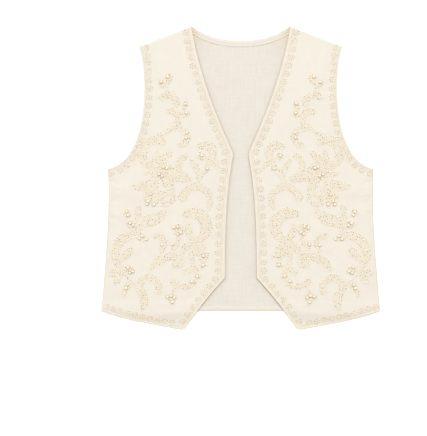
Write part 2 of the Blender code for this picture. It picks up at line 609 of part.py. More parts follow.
def make_neck_band(front):
    """The facing strip along the back neck, ending beside the fronts' neck edges."""
    half = cubic((0.0, BACK_NECK_Y), BACK_NECK[:2], BACK_NECK[2:], front.outline[0], BAND_SAMPLES)
    whole = np.concatenate([half[1:][::-1] * (-1.0, 1.0), half])
    along = np.gradient(whole, axis=0)
    along /= np.linalg.norm(along, axis=1)[:, None]
    inward = np.stack([along[:, 1], -along[:, 0]], axis=1)
    edge = front.edge_line("neck")[::-1]
    stations = np.linspace(-1.0, 1.0, 2 * BACK_NECK_STEPS + 1)
    rings = []
    for across, up in BAND_SECTION:
        line = whole + inward * (across * NECK_BAND_WIDTH + BAND_SET_IN)
        limit = np.interp(line[:, 1], edge[:, 1], edge[:, 0]) - BAND_CLEAR
        free = line[np.abs(line[:, 0]) < limit]
        length = np.concatenate([[0.0], np.cumsum(np.linalg.norm(np.diff(free, axis=0), axis=1))])
        at = (stations + 1.0) / 2.0 * length[-1]
        plan = np.stack([np.interp(at, length, free[:, i]) for i in (0, 1)], axis=1)
        height = BACK_THICK + SEAM_GAP + up * NECK_BAND_THICK
        rings.append(np.column_stack([plan, np.full(len(plan), height)]))
    strip("back_neck_band", np.stack(rings, axis=1), BAND_CLOTH)


def main():
    for obj in list(bpy.data.objects):
        bpy.data.objects.remove(obj, do_unlink=True)
    make_back()
    for side, mirror in (("right", True), ("left", False)):
        front = Front(side)
        make_front(front, "front_" + side, mirror)
        thick = FRONT_THICK + BINDING_RISE
        make_binding("edge_binding_" + side, front.outline, front.names, BOUND_RUN, front.lift,
                     thick, mirror)
        make_binding("armhole_binding_" + side, front.outline, front.names, ARMHOLE_RUN,
                     front.lift, thick, mirror)
        make_binding("armhole_binding_back_" + side, front.outline, front.names, ARMHOLE_RUN,
                     lambda points: np.zeros(len(points)), BACK_THICK, mirror)
    make_neck_band(Front("left"))


main()
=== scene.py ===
"""Embroidered waistcoat laid flat: cloth, bindings, stitching, embroidery and pearls.

Plan sizes are in millimetres, as in the model's source: the distance out from the centre line and
the height above the garment's middle, for the wearer's left front. The right front mirrors it.
"""

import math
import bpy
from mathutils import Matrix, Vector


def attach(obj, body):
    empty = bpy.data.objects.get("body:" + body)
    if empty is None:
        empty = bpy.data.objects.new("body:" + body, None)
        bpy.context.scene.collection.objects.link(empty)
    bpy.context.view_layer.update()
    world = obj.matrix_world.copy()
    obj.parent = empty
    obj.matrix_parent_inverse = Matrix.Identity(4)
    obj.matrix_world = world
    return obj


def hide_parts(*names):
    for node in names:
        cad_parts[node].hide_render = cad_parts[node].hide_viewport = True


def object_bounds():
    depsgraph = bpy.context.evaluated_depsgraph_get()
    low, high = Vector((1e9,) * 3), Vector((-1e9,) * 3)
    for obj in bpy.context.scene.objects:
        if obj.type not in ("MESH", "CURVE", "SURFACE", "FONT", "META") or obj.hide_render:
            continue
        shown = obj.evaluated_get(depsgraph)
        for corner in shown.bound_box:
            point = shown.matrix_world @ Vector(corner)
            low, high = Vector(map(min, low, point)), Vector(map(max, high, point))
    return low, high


bl_info = {
    "name": "Embroidered Waistcoat",
    "version": (1, 0, 0),
    "blender": (4, 5, 0),
    "location": "View3D > Sidebar > Waistcoat",
    "description": "Cloth, bindings, looped stitch embroidery and pearls of a flat waistcoat",
    "category": "Add Mesh",
}

from collections import namedtuple
from functools import partial

import bpy
import numpy as np

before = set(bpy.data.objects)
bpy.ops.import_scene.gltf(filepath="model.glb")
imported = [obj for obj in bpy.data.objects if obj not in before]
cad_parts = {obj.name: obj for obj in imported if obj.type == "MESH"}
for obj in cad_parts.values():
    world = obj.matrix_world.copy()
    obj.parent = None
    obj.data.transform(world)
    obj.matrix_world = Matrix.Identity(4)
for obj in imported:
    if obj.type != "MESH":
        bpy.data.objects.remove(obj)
CAD_BOX = [list(corner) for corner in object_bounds()]

MM = 0.001

# ---- cloth, as in the model ----
BACK_THICK = 1.2
FRONT_THICK = 1.5
SEAM_GAP = 0.3
HEM_FOLD = 0.6
HEM_WIDTH = 9.4
NECK_BAND_WIDTH = 9.4
NECK_BAND_THICK = 1.0
BINDING_WIDTH = 2.6
BINDING_RISE = 0.55
SEAM_ROUND = 3.0
SEAM_ROLL = 0.7
BODY_LOFT = 2.4
LOFT_REACH = 70.0
EDGE_SETTLE = 1.1
SETTLE_REACH = 40.0
FOLD_FREE_FADE = 18.0
FOLD_SEAM_FADE = 10.0
HEM_CLIMB = 7.0
HEM_CLEAR = 2.0
HEM_DROP = 1.0
FLOOR_REACH = 24.0
BACK_HEM_Y = -231.6
BACK_NECK_Y = 238.2

# ---- outline of one front: cubic curves, end to end, anticlockwise; round is at its end ----
Edge = namedtuple("Edge", "name x0 y0 x1 y1 x2 y2 round")
FRONT_EDGES = [Edge(*row) for row in (
    ("neck", 86.1, 262.9, 73.8, 185.7, 45.7, 111.5, 7.0),
    ("front", 12.7, 40.6, 26.8, -30.0, 27.2, -103.0, 3.0),
    ("slant", 27.7, -175.1, 47.0, -196.0, 75.0, -228.0, 6.0),
    ("hem", 98.0, -265.4, 146.5, -257.4, 196.1, -248.7, 0.0),
    ("side", 242.6, -231.4, 235.9, -149.5, 227.4, -67.3, 0.0),
    ("armhole", 231.1, 15.2, 158.8, 30.3, 161.0, 179.9, 0.0),
    ("shoulder", 177.0, 227.7, 146.7, 238.9, 116.5, 251.6, 0.0),
)]
BOUND_RUN = ("neck", "front", "slant", "hem")
ARMHOLE_RUN = ("armhole",)
SEAMS = ("side", "shoulder")
BACK_NECK_HANDLES = (30.8, 237.9, 61.4, 245.2)

# ---- rosettes: rows set in from an edge, from one length along it to another ----
Row = namedtuple("Row", "edge inset start end count")
ROSETTE_ROWS = [Row(*row) for row in (
    ("neck", 12.0, 9.4, 225.5, 16),
    ("front", 12.6, 15.7, 204.1, 13),
    ("slant", 10.8, 12.3, 104.5, 7),
    ("hem", 9.2, 23.3, 142.5, 10),
    ("armhole", 10.0, 3.8, 42.9, 4),
    ("armhole", 9.6, 53.4, 63.4, 2),
    ("armhole", 9.2, 76.9, 119.4, 4),
    ("armhole", 9.6, 134.6, 208.3, 6),
    ("armhole", 10.8, 219.5, 232.6, 2),
)]
ROSETTE_RADIUS = 5.5

# ---- embroidery of one front: round-ended strokes along an arc through three points ----
# columns: start x y, middle x y, end x y, half width at each of them
Stroke = namedtuple("Stroke", "x0 y0 x1 y1 x2 y2 w0 w1 w2")
STROKES = {name: Stroke(*row) for name, *row in (
    # spray below the shoulder
    ("crown_bud", 126, 179, 125, 172, 127, 163, 3.4, 6.4, 3.0),
    ("crown_leaf", 141, 169, 137, 163, 132, 157, 3.4, 5.0, 2.6),
    ("crown_stem", 128, 162, 129, 157, 127, 150, 1.6, 1.4, 1.8),
    ("crown_hook", 137, 139, 121, 143, 112, 126, 5.4, 5.9, 4.8),
    ("twin_bud_up", 94, 132, 97, 126, 98, 119, 3.4, 5.0, 3.6),
    ("twin_bud_low", 106, 106, 97, 110, 90, 112, 2.4, 5.4, 4.0),
    ("neck_curl", 126, 115, 110, 110, 113, 92, 4.8, 6.2, 6.2),
    ("neck_tail", 113, 94, 126, 82, 148, 71, 6.0, 3.6, 4.4),
    ("neck_hook", 113, 83, 93, 73, 105, 57, 3.2, 6.2, 5.2),
    # large flower at the chest
    ("crest", 137, 63, 164, 60, 160, 22, 7.2, 8.8, 7.0),
    ("crest_leaf", 123, 42, 130, 38, 139, 32, 4.6, 6.4, 4.4),
    ("crest_bud", 145, 47, 147, 38, 142, 27, 3.0, 4.4, 3.0),
    ("crest_fill", 148, 38, 149, 28, 143, 16, 4.6, 6.6, 6.0),
    ("petal_side", 167, 7, 157, 6, 144, 3, 3.0, 5.2, 4.0),
    ("heart", 158, 20, 130, 5, 88, -2, 6.4, 8.4, 5.0),
    ("heart_top", 119, 11, 128, 19, 142, 26, 5.4, 7.0, 6.0),
    ("comma", 96, 38, 107, 22, 93, -1, 5.6, 5.6, 7.6),
    ("petal_low", 136, -2, 126, -12, 120, -26, 4.0, 8.2, 4.0),
    ("petal_mid", 143, -2, 148, -14, 145, -30, 3.0, 5.0, 3.0),
    ("petal_in", 122, -22, 118, -34, 122, -45, 3.0, 5.0, 3.0),
    ("cup", 148, -34, 132, -46, 117, -40, 3.0, 4.6, 3.0),
    ("cup_curl", 125, -27, 131, -29, 138, -34, 3.6, 5.2, 5.4),
    ("cup_fill", 139, -27, 149, -33, 156, -44, 5.6, 8.6, 6.0),
    ("cup_side", 156, -19, 163, -29, 162, -43, 4.2, 5.6, 5.0),
    ("side_leaf", 148, -6, 170, -14, 190, -17, 4.0, 8.4, 2.4),
    # scrolls beside the neck edge
    ("inner_leaf", 87, 32, 79, 20, 73, 5, 2.6, 5.4, 3.4),
    ("inner_stem", 75, 8, 74, -1, 77, -12, 3.4, 4.2, 4.8),
    ("inner_link", 60, 14, 66, 8, 72, -1, 3.8, 4.2, 4.4),
    ("breast_scroll", 72, 53, 56, 55, 54, 31, 5.6, 7.6, 5.0),
    ("breast_stem", 54, 31, 49, 25, 42, 23, 4.0, 3.8, 3.8),
    ("breast_root", 55, 33, 56, 25, 59, 17, 4.4, 4.0, 5.0),
    # great scrolls along the front edge
    ("mid_scroll", 101, -33, 84, -16, 57, -53, 8.2, 6.8, 4.2),
    ("great_scroll", 94, -63, 65, -70, 78, -109, 7.4, 10.6, 6.0),
    ("great_leaf", 91, -80, 90, -94, 81, -109, 3.8, 6.6, 4.0),
    # broad leaf and side scroll
    ("wide_leaf", 131, -55, 153, -73, 175, -76, 2.2, 11.0, 7.4),
    ("wide_hook", 173, -82, 179, -66, 176, -51, 7.0, 5.4, 4.6),
    ("wide_join", 168, -79, 177, -87, 176, -99, 7.0, 6.0, 3.4),
    ("side_scroll", 172, -102, 210, -111, 212, -153, 4.6, 8.6, 4.8),
    ("side_bud", 205, -140, 198, -132, 192, -127, 4.6, 7.4, 6.2),
    ("side_link", 205, -139, 210, -145, 212, -154, 4.0, 4.8, 4.6),
    ("sprig_hook", 147, -101, 135, -105, 135, -122, 5.4, 5.4, 4.0),
    ("sprig_leaf", 106, -104, 111, -114, 118, -125, 3.2, 5.0, 3.4),
    # flower above the side hem
    ("low_petal_a", 209, -163, 218, -166, 228, -167, 4.0, 6.8, 3.8),
    ("low_petal_b", 210, -166, 214, -175, 220, -184, 3.8, 6.2, 3.2),
    ("low_petal_c", 208, -159, 200, -159, 191, -162, 2.4, 4.2, 5.0),
    ("low_heart", 204, -163, 212, -165, 222, -163, 5.4, 7.4, 4.6),
    ("low_stem", 208, -164, 197, -174, 185, -185, 1.8, 1.8, 2.4),
    ("low_leaf", 187, -184, 198, -191, 204, -206, 3.4, 5.6, 3.0),
    # palm in the middle
    ("palm_scroll", 157, -160, 137, -141, 107, -138, 3.0, 7.2, 6.8),
    ("palm_curl", 105, -138, 104, -147, 111, -154, 6.4, 6.4, 4.8),
    ("palm_head", 116, -138, 111, -144, 113, -152, 7.0, 9.4, 6.8),
    ("palm_link", 136, -120, 137, -127, 134, -136, 3.6, 3.6, 5.0),
    # sprays along the front edge
    ("edge_stem", 79, -110, 85, -130, 82, -154, 4.8, 4.6, 4.4),
    ("edge_leaf", 87, -114, 94, -119, 101, -129, 4.4, 6.4, 4.6),
    ("edge_petal_a", 80, -124, 72, -121, 65, -120, 4.2, 6.0, 5.2),
    ("edge_petal_b", 77, -130, 69, -133, 61, -135, 4.0, 5.8, 6.8),
    ("edge_petal_c", 70, -135, 67, -142, 67, -149, 5.0, 4.4, 5.4),
    ("edge_tail_a", 83, -156, 89, -161, 97, -163, 4.0, 5.0, 4.6),
    ("edge_tail_b", 82, -154, 78, -162, 75, -172, 4.2, 4.8, 5.6),
    ("hand_leaf", 82, -181, 101, -189, 118, -179, 5.4, 4.9, 4.8),
    ("hand_tail_a", 111, -188, 117, -196, 120, -206, 2.8, 2.8, 5.6),
    ("hand_tail_b", 114, -206, 120, -209, 128, -207, 5.0, 6.4, 4.0),
    ("hand_drop", 120, -208, 119.5, -214, 118, -219, 5.0, 5.0, 3.6),
    # scroll above the hem
    ("foot_scroll", 144, -198, 156, -174, 177, -192, 5.8, 6.4, 7.0),
    ("foot_leaf", 177, -192, 168, -212, 172, -231, 6.8, 7.8, 1.8),
    ("foot_bud", 186, -182, 182, -190, 174, -198, 2.0, 3.4, 4.0),
)}
SPINE_STEPS = 40  # samples along a stroke
CAP_STEPS = 8  # and round its ends

# ---- round patches of stitching under the pearls: centre x y, radius ----
Pad = namedtuple("Pad", "x y radius")
PADS = [Pad(*row) for row in (
    (95, 111, 5.0), (67, 37, 6.2), (58, 16, 5.6), (133, -29, 4.4), (158, -38, 8.6),
    (67, -150, 6.8), (94, -165, 5.0), (191, -161, 6.6), (197, -62, 6.8), (191, -81, 6.4),
    (108, -90, 9.4), (170, -105, 6.0), (42, 20, 4.4),
)]

# ---- pearls: x y ----
PEARLS = (
    (127, 175), (138, 166), (96, 128), (95, 112), (94, 78), (95, 69), (68, 38), (58, 16),
    (134, 18.5), (128.5, 16.5), (142, 6), (137, 3), (156.5, -29), (160.5, -41), (163, -46.5),
    (151, -46.5), (198, -59), (196, -65), (192, -79), (187, -83), (170.5, -102), (164.5, -107),
    (176, -106.5), (110, -85), (116.5, -87), (104, -95), (109, -98.5), (137, -117), (119, -116),
    (66, -152), (76, -171), (85, -180), (195.5, -156), (188, -163), (193, -166), (199, -192),
    (196, -186), (121, -205), (127, -206.5), (115, -208), (119, -215.5), (65.5, -136.5),
)

# ---- soft folds of the fronts: from x y to x y, half width and height, on which front ----
Fold = namedtuple("Fold", "side x0 y0 x1 y1 width height")
FOLDS = [Fold(*row) for row in (
    ("both", 226, -12, 172, -34, 11, 1.3),
    ("both", 228, -62, 190, -72, 9, 0.8),
    ("left", 214, -96, 224, -206, 13, 1.0),
    ("right", 216, -120, 222, -214, 12, 1.2),
    ("both", 150, 222, 112, 120, 17, 1.2),
    ("left", 60, 130, 46, -20, 12, 0.9),
    ("right", 66, 150, 44, -34, 13, 0.8),
    ("right", 120, -70, 140, -226, 18, 1.1),
    ("left", 132, -60, 116, -236, 19, 1.1),
)]
# small creases that only the cloth's surface has; a height below zero is a trough
CREASES = [Fold(*row) for row in (
    ("both", 229, -4, 206, -16, 3.2, -0.45),
    ("both", 230, -24, 204, -32, 3.6, 0.40),
    ("left", 230, -36, 210, -46, 3.0, -0.40),
    ("right", 229, -42, 212, -38, 3.0, -0.38),
    ("left", 231, -58, 214, -54, 3.4, 0.36),
    ("right", 231, -66, 208, -76, 3.6, -0.42),
    ("both", 233, -104, 222, -118, 3.6, 0.34),
    ("right", 236, -142, 226, -168, 4.0, -0.36),
    ("left", 236, -150, 224, -140, 3.6, -0.34),
    ("both", 168, 222, 150, 178, 6.0, -0.55),
    ("left", 130, 236, 118, 190, 7.0, 0.45),
    ("right", 126, 238, 122, 186, 7.0, 0.40),
    ("both", 60, -60, 40, -128, 6.0, 0.30),
    ("left", 150, -126, 166, -150, 7.0, -0.40),
    ("right", 166, -122, 152, -148, 7.0, -0.45),
    ("both", 96, -232, 150, -238, 6.5, 0.45),
    ("both", 76, -198, 108, -224, 5.0, -0.30),
)]
BACK_CREASES = [Fold(*row) for row in (
    ("both", 6, 226, 2, 120, 9, 0.35),
    ("both", -34, 224, -22, 150, 8, 0.30),
    ("both", 30, 230, 40, 170, 8, 0.32),
    ("both", -8, 90, -4, -60, 8, 0.22),
    ("both", 10, -90, 4, -210, 9, 0.30),
    ("both", -24, -140, -40, -220, 9, 0.26),
)]


# ================================ plane curves ================================

def cubic(p0, p1, p2, p3, count):
    """A cubic curve: (1-t)^3 p0 + 3(1-t)^2 t p1 + 3(1-t) t^2 p2 + t^3 p3, t from 0 to 1."""
    t = np.linspace(0.0, 1.0, count)[:, None]
    p0, p1, p2, p3 = (np.asarray(p, float) for p in (p0, p1, p2, p3))
    return (1 - t) ** 3 * p0 + 3 * (1 - t) ** 2 * t * p1 + 3 * (1 - t) * t ** 2 * p2 + t ** 3 * p3


def lengths(line):
    """The length along a line up to each of its points."""
    return np.concatenate([[0.0], np.cumsum(np.linalg.norm(np.diff(line, axis=0), axis=1))])


def resample(line, count, first=0.0, last=None):
    """count points of a line, evenly spaced by length, from one length along it to another."""
    length = lengths(line)
    at = np.linspace(first, length[-1] if last is None else last, count)
    return np.stack([np.interp(at, length, line[:, i]) for i in range(line.shape[1])], axis=1)


def headings(line):
    """The unit direction of a line at each of its points."""
    way = np.gradient(line, axis=0)
    return way / np.linalg.norm(way, axis=1)[:, None]


def bearings(line):
    """The angle of a line's heading at each of its points."""
    way = headings(line)
    return np.arctan2(way[:, 1], way[:, 0])


def on_circle(angle):
    """The points of the unit circle at some angles: (cos, sin)."""
    return np.stack([np.cos(angle), np.sin(angle)], axis=-1)


def full_turn(count):
    """So many angles, evenly spaced round a full turn."""
    return np.arange(count) / count * math.tau


def moved_in(line, distance):
    """A line moved to its left: each point plus distance times (-dy, dx) of the unit heading."""
    way = headings(line)
    return line + distance * np.stack([-way[:, 1], way[:, 0]], axis=1)


def distance_to(points, line):
    """The distance from each point to a line, as the least over its sides."""
    starts, side = line[:-1], np.diff(line, axis=0)
    found = np.full(len(points), np.inf)
    for start, run in zip(starts, side):
        away = points - start
        t = np.clip(away @ run / (run @ run), 0.0, 1.0)
        found = np.minimum(found, np.hypot(away[:, 0] - t * run[0], away[:, 1] - t * run[1]))
    return found


def nearest(points, lines):
    """The distance from each point to the nearest of several lines."""
    return np.minimum.reduce([distance_to(points, line) for line in lines])


def smooth(t):
    """0 to 1 with level ends: t^2 (3 - 2t)."""
    t = np.clip(t, 0.0, 1.0)
    return t * t * (3.0 - 2.0 * t)


EDGE_STEPS = 160
CORNER_STEPS = 6
EVERY_FIFTH = slice(None, None, 5)  # points enough to measure a distance to an edge
RUN_SPACING = 2.0  # from one station to the next along a binding or strip


def edge_curves():
    """Each edge's cubic, by name, moved up so that the neck starts at the top of the model."""
    rise = CAD_BOX[1][1] / MM - FRONT_EDGES[0].y0
    return {edge.name: cubic((edge.x0, edge.y0), (edge.x1, edge.y1), (edge.x2, edge.y2),
                             (following.x0, following.y0), EDGE_STEPS + 1) + (0.0, rise)
            for edge, following in zip(FRONT_EDGES, FRONT_EDGES[1:] + FRONT_EDGES[:1])}


EDGES = edge_curves()
ROUNDS = {edge.name: edge.round for edge in FRONT_EDGES}


def turn_between(name, following):
    """The angle that the outline turns to the left by, from one edge to the next."""
    way, onward = headings(EDGES[name])[-1], headings(EDGES[following])[0]
    return math.atan2(way[0] * onward[1] - way[1] * onward[0], way @ onward)


def between(line, first, last):
    """A line from one length along it to another, drawn on straight past its own ends."""
    length, way = lengths(line), headings(line)
    inner = line[(length > max(first, 0.0)) & (length < min(last, length[-1]))]
    ends = []
    for at, end in ((first, 0), (last, -1)):
        inside = 0.0 <= at <= length[-1]
        ends.append(resample(line, 1, at, at)[0] if inside
                    else line[end] + (at - length[end]) * way[end])
    return np.concatenate([ends[:1], inner, ends[1:]])


def run_at(run, inset):
    """A run of edges moved in by inset.

    Each edge is moved along its normals and cut back at a corner by the corner's radius plus
    inset * tan(half the turn). A quadratic curve whose handle is the mitre joins the two:
    (1-t)^2 a + 2(1-t)t m + t^2 b. The run's own ends lie on the seams that it starts and ends
    at, inset / tan(turn) past the normal. The number of points doesn't depend on inset.
    """
    names = list(EDGES)
    before = names[names.index(run[0]) - 1]
    after = names[(names.index(run[-1]) + 1) % len(names)]
    parts, cut, mitre = [], -inset / math.tan(turn_between(before, run[0])), None
    for name, following in zip(run, list(run[1:]) + [None]):
        curve = EDGES[name]
        count = max(3, round(lengths(curve)[-1] / RUN_SPACING))
        shifted = moved_in(curve, inset) if inset else curve
        if following:
            turn = turn_between(name, following)
            leave = ROUNDS[name] + inset * math.tan(turn / 2.0)
        else:
            leave = -inset / math.tan(turn_between(name, after))
        part = resample(between(shifted, cut, lengths(shifted)[-1] - leave), count)
        if mitre is not None:
            a, b = parts[-1][-1], part[0]
            t = np.linspace(0.0, 1.0, CORNER_STEPS + 1)[1:-1, None]
            parts.append((1 - t) ** 2 * a + 2 * (1 - t) * t * mitre + t ** 2 * b)
        if following:
            way, onward = headings(curve)[-1], headings(EDGES[following])[0]
            left, left_on = np.array([-way[1], way[0]]), np.array([-onward[1], onward[0]])
            mitre = curve[-1] + inset * (left + left_on) / (1.0 + left @ left_on)
        cut = leave
        parts.append(part)
    return np.concatenate(parts)


def patch(left, right, bottom, top):
    """A Coons patch: ruled between bottom and top, plus ruled between left and right, less the
    bilinear blend of the corners. Rows run up and columns run across."""
    v = np.linspace(0.0, 1.0, len(left))[:, None, None]
    u = np.linspace(0.0, 1.0, len(bottom))[None, :, None]
    corners = ((1 - u) * (1 - v) * bottom[0] + u * (1 - v) * bottom[-1]
               + (1 - u) * v * top[0] + u * v * top[-1])
    return ((1 - v) * bottom[None] + v * top[None]
            + (1 - u) * left[:, None] + u * right[:, None] - corners)


# ================================ embroidery in plan ================================

def spine(stroke):
    """The arc through a stroke's three points, its half widths and its headings.

    The circle's centre is where the middle lines of the two chords cross. The half width runs
    from end to middle to end along quarter sines.
    """
    ax, ay, bx, by, cx, cy = stroke[:6]
    d = 2.0 * (ax * (by - cy) + bx * (cy - ay) + cx * (ay - by))
    a2, b2, c2 = ax * ax + ay * ay, bx * bx + by * by, cx * cx + cy * cy
    ux = (a2 * (by - cy) + b2 * (cy - ay) + c2 * (ay - by)) / d
    uy = (a2 * (cx - bx) + b2 * (ax - cx) + c2 * (bx - ax)) / d
    radius = math.hypot(ax - ux, ay - uy)
    start, middle, end = (math.atan2(y - uy, x - ux) for x, y in ((ax, ay), (bx, by), (cx, cy)))
    turn, part = (end - start) % math.tau, (middle - start) % math.tau
    if part > turn:
        turn, part = turn - math.tau, part - math.tau
    s = np.linspace(0.0, 1.0, SPINE_STEPS + 1)
    angle = start + turn * s
    points = (ux, uy) + radius * on_circle(angle)
    m = part / turn
    first = np.sin(np.clip(s / m, 0, 1) * math.pi / 2)
    last = np.sin(np.clip((1 - s) / (1 - m), 0, 1) * math.pi / 2)
    width = np.where(s < m, stroke.w0 + (stroke.w1 - stroke.w0) * first,
                     stroke.w2 + (stroke.w1 - stroke.w2) * last)
    return points, width, angle + math.copysign(math.pi / 2, turn)


def ring(stroke, inset):
    """A stroke's outline moved in: both sides of the arc, joined by half circles at the ends.
    Where the stroke is narrower than that the ring ends sooner."""
    points, width, heading = spine(stroke)
    kept = width > inset
    if kept.sum() < 3:
        return None
    points, width, heading = points[kept], width[kept] - inset, heading[kept]
    across = np.stack([-np.sin(heading), np.cos(heading)], axis=1) * width[:, None]

    def cap(i, turn):
        """The half circle round one end, without its own ends."""
        angle = heading[i] + turn - np.linspace(0.0, math.pi, CAP_STEPS + 1)[1:-1]
        return points[i] + width[i] * on_circle(angle)

    line = np.concatenate([points + across, cap(-1, math.pi / 2), (points - across)[::-1],
                           cap(0, -math.pi / 2)])
    return np.concatenate([line, line[:1]])


def row_of(row):
    """Evenly spaced points beside one edge, set in from its curve along its normals."""
    curve = EDGES[row.edge]
    length, moved = lengths(curve), moved_in(curve, row.inset)
    at = np.linspace(row.start, row.end, row.count)
    return np.stack([np.interp(at, length, moved[:, i]) for i in (0, 1)], axis=1)


ROSETTES = np.concatenate([row_of(row) for row in ROSETTE_ROWS])
SPINES = [spine(stroke)[:2] for stroke in STROKES.values()]


def depth_in_strokes(points, upto=None):
    """How deep each point lies inside the strokes: the most of half width less distance."""
    deep = np.full(len(points), -np.inf)
    for line, width in SPINES[:upto]:
        for centre, half in zip(line[::2], width[::2]):
            deep = np.maximum(deep, half - np.hypot(points[:, 0] - centre[0],
                                                    points[:, 1] - centre[1]))
    return deep


def depth_in_work(points):
    """How deep each point lies inside the strokes, the pads or the rosettes."""
    deep = depth_in_strokes(points)
    for x, y, radius in [*PADS, *((x, y, ROSETTE_RADIUS) for x, y in ROSETTES)]:
        deep = np.maximum(deep, radius - np.hypot(points[:, 0] - x, points[:, 1] - y))
    return deep


# ================================ heights ================================

def fold_height(points, folds, side):
    """Soft ridges and troughs: height * exp(-(distance / width)^2), fading over the first and
    the last quarter of their length."""
    total = np.zeros(len(points))
    for fold in folds:
        if fold.side in ("both", side):
            start = np.array([fold.x0, fold.y0], float)
            run = np.array([fold.x1, fold.y1], float) - start
            t = np.clip(((points - start) @ run) / (run @ run), 0.0, 1.0)
            near = np.linalg.norm(points - start - t[:, None] * run, axis=1)
            ends = smooth(t * 4) * smooth((1 - t) * 4)
            total += fold.height * np.exp(-(near / fold.width) ** 2) * ends
    return total


def ripple(points, length, seed):
    """A gentle unevenness from -1 to 1: three crossing sine waves of unlike lengths."""
    rng = np.random.default_rng(seed)
    total = np.zeros(len(points))
    shares = (1.0, 0.62, 0.41)
    for share in shares:
        angle, phase = rng.uniform(0.0, math.pi), rng.uniform(0.0, math.tau)
        along = points[:, 0] * math.cos(angle) + points[:, 1] * math.sin(angle)
        total += share * np.sin(along * math.tau / (length * share) + phase)
    return total / sum(shares)


ROLL_LIP = 0.6  # how much further the roll drops right at a seam
ROLL_LIP_REACH = 1.8
CREASE_GAIN = 1.8
CREASE_SEAM_FADE = 4.0
CREASE_FREE_FADE = 12.0
# unevenness of the cloth: height, length, how far from a seam it fades, seed
RIPPLES = ((0.25, 52.0, 12.0, 7), (0.05, 19.0, 6.0, 8))
PAD_RISE = 0.2  # the stitched ground stands this far up under its stitches
PAD_SKIRT = 0.9  # from this far outside them
PAD_SLOPE = 3.4


class Surface:
    """The height of one front's cloth over its plan."""

    def __init__(self, side):
        self.side = side
        self.seams = [EDGES[name][EVERY_FIFTH] for name in SEAMS]
        self.free = [EDGES[name][EVERY_FIFTH] for name in BOUND_RUN + ARMHOLE_RUN]

    def lift(self, points):
        """The underside over the floor: rest on the back plus loft, down to 0 past its hem.

        The loft grows with the distance from the seams over LOFT_REACH, is EDGE_SETTLE lower at
        the free edges, and has the folds on it, which fade towards both. Each share of a
        distance goes through smooth.
        """
        seam, free = nearest(points, self.seams), nearest(points, self.free)
        reach = smooth(seam / LOFT_REACH)
        loft = reach * (BODY_LOFT - EDGE_SETTLE * (1.0 - smooth(free / SETTLE_REACH)))
        loft += (fold_height(points, FOLDS, self.side) * smooth(free / FOLD_FREE_FADE)
                 * smooth(seam / FOLD_SEAM_FADE))
        climb_from = BACK_HEM_Y + HEM_WIDTH + HEM_CLEAR + HEM_CLIMB
        over_hem = smooth((climb_from - points[:, 1]) / HEM_CLIMB)
        rest = BACK_THICK + SEAM_GAP + HEM_FOLD * over_hem
        down = smooth((BACK_HEM_Y - HEM_DROP - points[:, 1]) / FLOOR_REACH)
        return (rest + loft) * (1.0 - down)

    def cloth(self, points):
        """The upper face: the underside plus the cloth, less its roll at the seams, plus its
        creases and ripples. The roll is SEAM_ROLL * (1 - smooth(d / SEAM_ROUND))^2 + ROLL_LIP *
        exp(-d / ROLL_LIP_REACH), d from the seam."""
        seam, free = nearest(points, self.seams), nearest(points, self.free)
        roll = (SEAM_ROLL * (1.0 - smooth(seam / SEAM_ROUND)) ** 2
                + ROLL_LIP * np.exp(-seam / ROLL_LIP_REACH))
        fine = (CREASE_GAIN * fold_height(points, CREASES, self.side)
                * smooth(seam / CREASE_SEAM_FADE))
        for height, length, fade, seed in RIPPLES:
            fine += height * ripple(points, length, seed) * smooth(seam / fade)
        return self.lift(points) + FRONT_THICK - roll + fine * smooth(free / CREASE_FREE_FADE)

    def top(self, points):
        """The cloth plus PAD_RISE where it is stitched, from PAD_SKIRT outside the stitching
        to its full height over PAD_SLOPE."""
        padded = smooth((depth_in_work(points) + PAD_SKIRT) / PAD_SLOPE)
        return self.cloth(points) + PAD_RISE * padded


# ================================ meshes ================================

def grid_faces(rows, columns):
    """The quads of a grid of points, facing up where rows run up and columns run right."""
    first = np.arange(rows - 1)[:, None] * columns + np.arange(columns - 1)[None]
    first = first.reshape(-1, 1)
    return first + np.array([[0, 1, columns + 1, columns]])


def add_piece(name, points, faces, material, mirror=False, tone=None, replaces=()):
    """A smooth mesh object on the one body, from points in millimetres and arrays of faces."""
    points = np.array(points, float) * MM
    if mirror:
        points[:, 0] *= -1.0
        faces = [array[:, ::-1] for array in faces]
    sizes = np.concatenate([np.full(len(array), array.shape[1]) for array in faces])
    corners = np.concatenate([array.ravel() for array in faces])
    mesh = bpy.data.meshes.new(name)
    mesh.vertices.add(len(points))
    mesh.vertices.foreach_set("co", points.ravel())
    mesh.loops.add(len(corners))
    mesh.loops.foreach_set("vertex_index", corners.astype(np.int32))
    mesh.polygons.add(len(sizes))
    starts = np.concatenate([[0], np.cumsum(sizes)[:-1]]).astype(np.int32)
    mesh.polygons.foreach_set("loop_start", starts)
    mesh.update(calc_edges=True)
    mesh.validate()
    mesh.shade_smooth()
    if tone is not None:
        attribute = mesh.attributes.new("tone", "FLOAT", "POINT")
        attribute.data.foreach_set("value", np.asarray(tone, np.float32))
    mesh.materials.append(material)
    obj = bpy.data.objects.new(name, mesh)
    bpy.context.collection.objects.link(obj)
    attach(obj, "root")
    if replaces:
        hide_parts(*replaces)
    return obj


def shell_mesh(plan, top, under):
    """A closed thin shell over a grid in plan: the top, the underside, and the rim between."""
    rows, columns = plan.shape[:2]
    flat = plan.reshape(-1, 2)
    upper = np.column_stack([flat, top(flat)])
    lower = np.column_stack([flat, under(flat)])
    faces = grid_faces(rows, columns)
    index = np.arange(rows * columns).reshape(rows, columns)
    rim = np.concatenate([index[0, :-1], index[:-1, -1], index[-1, :0:-1], index[:0:-1, 0]])
    after = np.roll(rim, -1)
    shift = rows * columns
    sides = np.stack([rim + shift, after + shift, after, rim], axis=1)
    return np.concatenate([upper, lower]), [np.concatenate([faces, faces[:, ::-1] + shift, sides])]


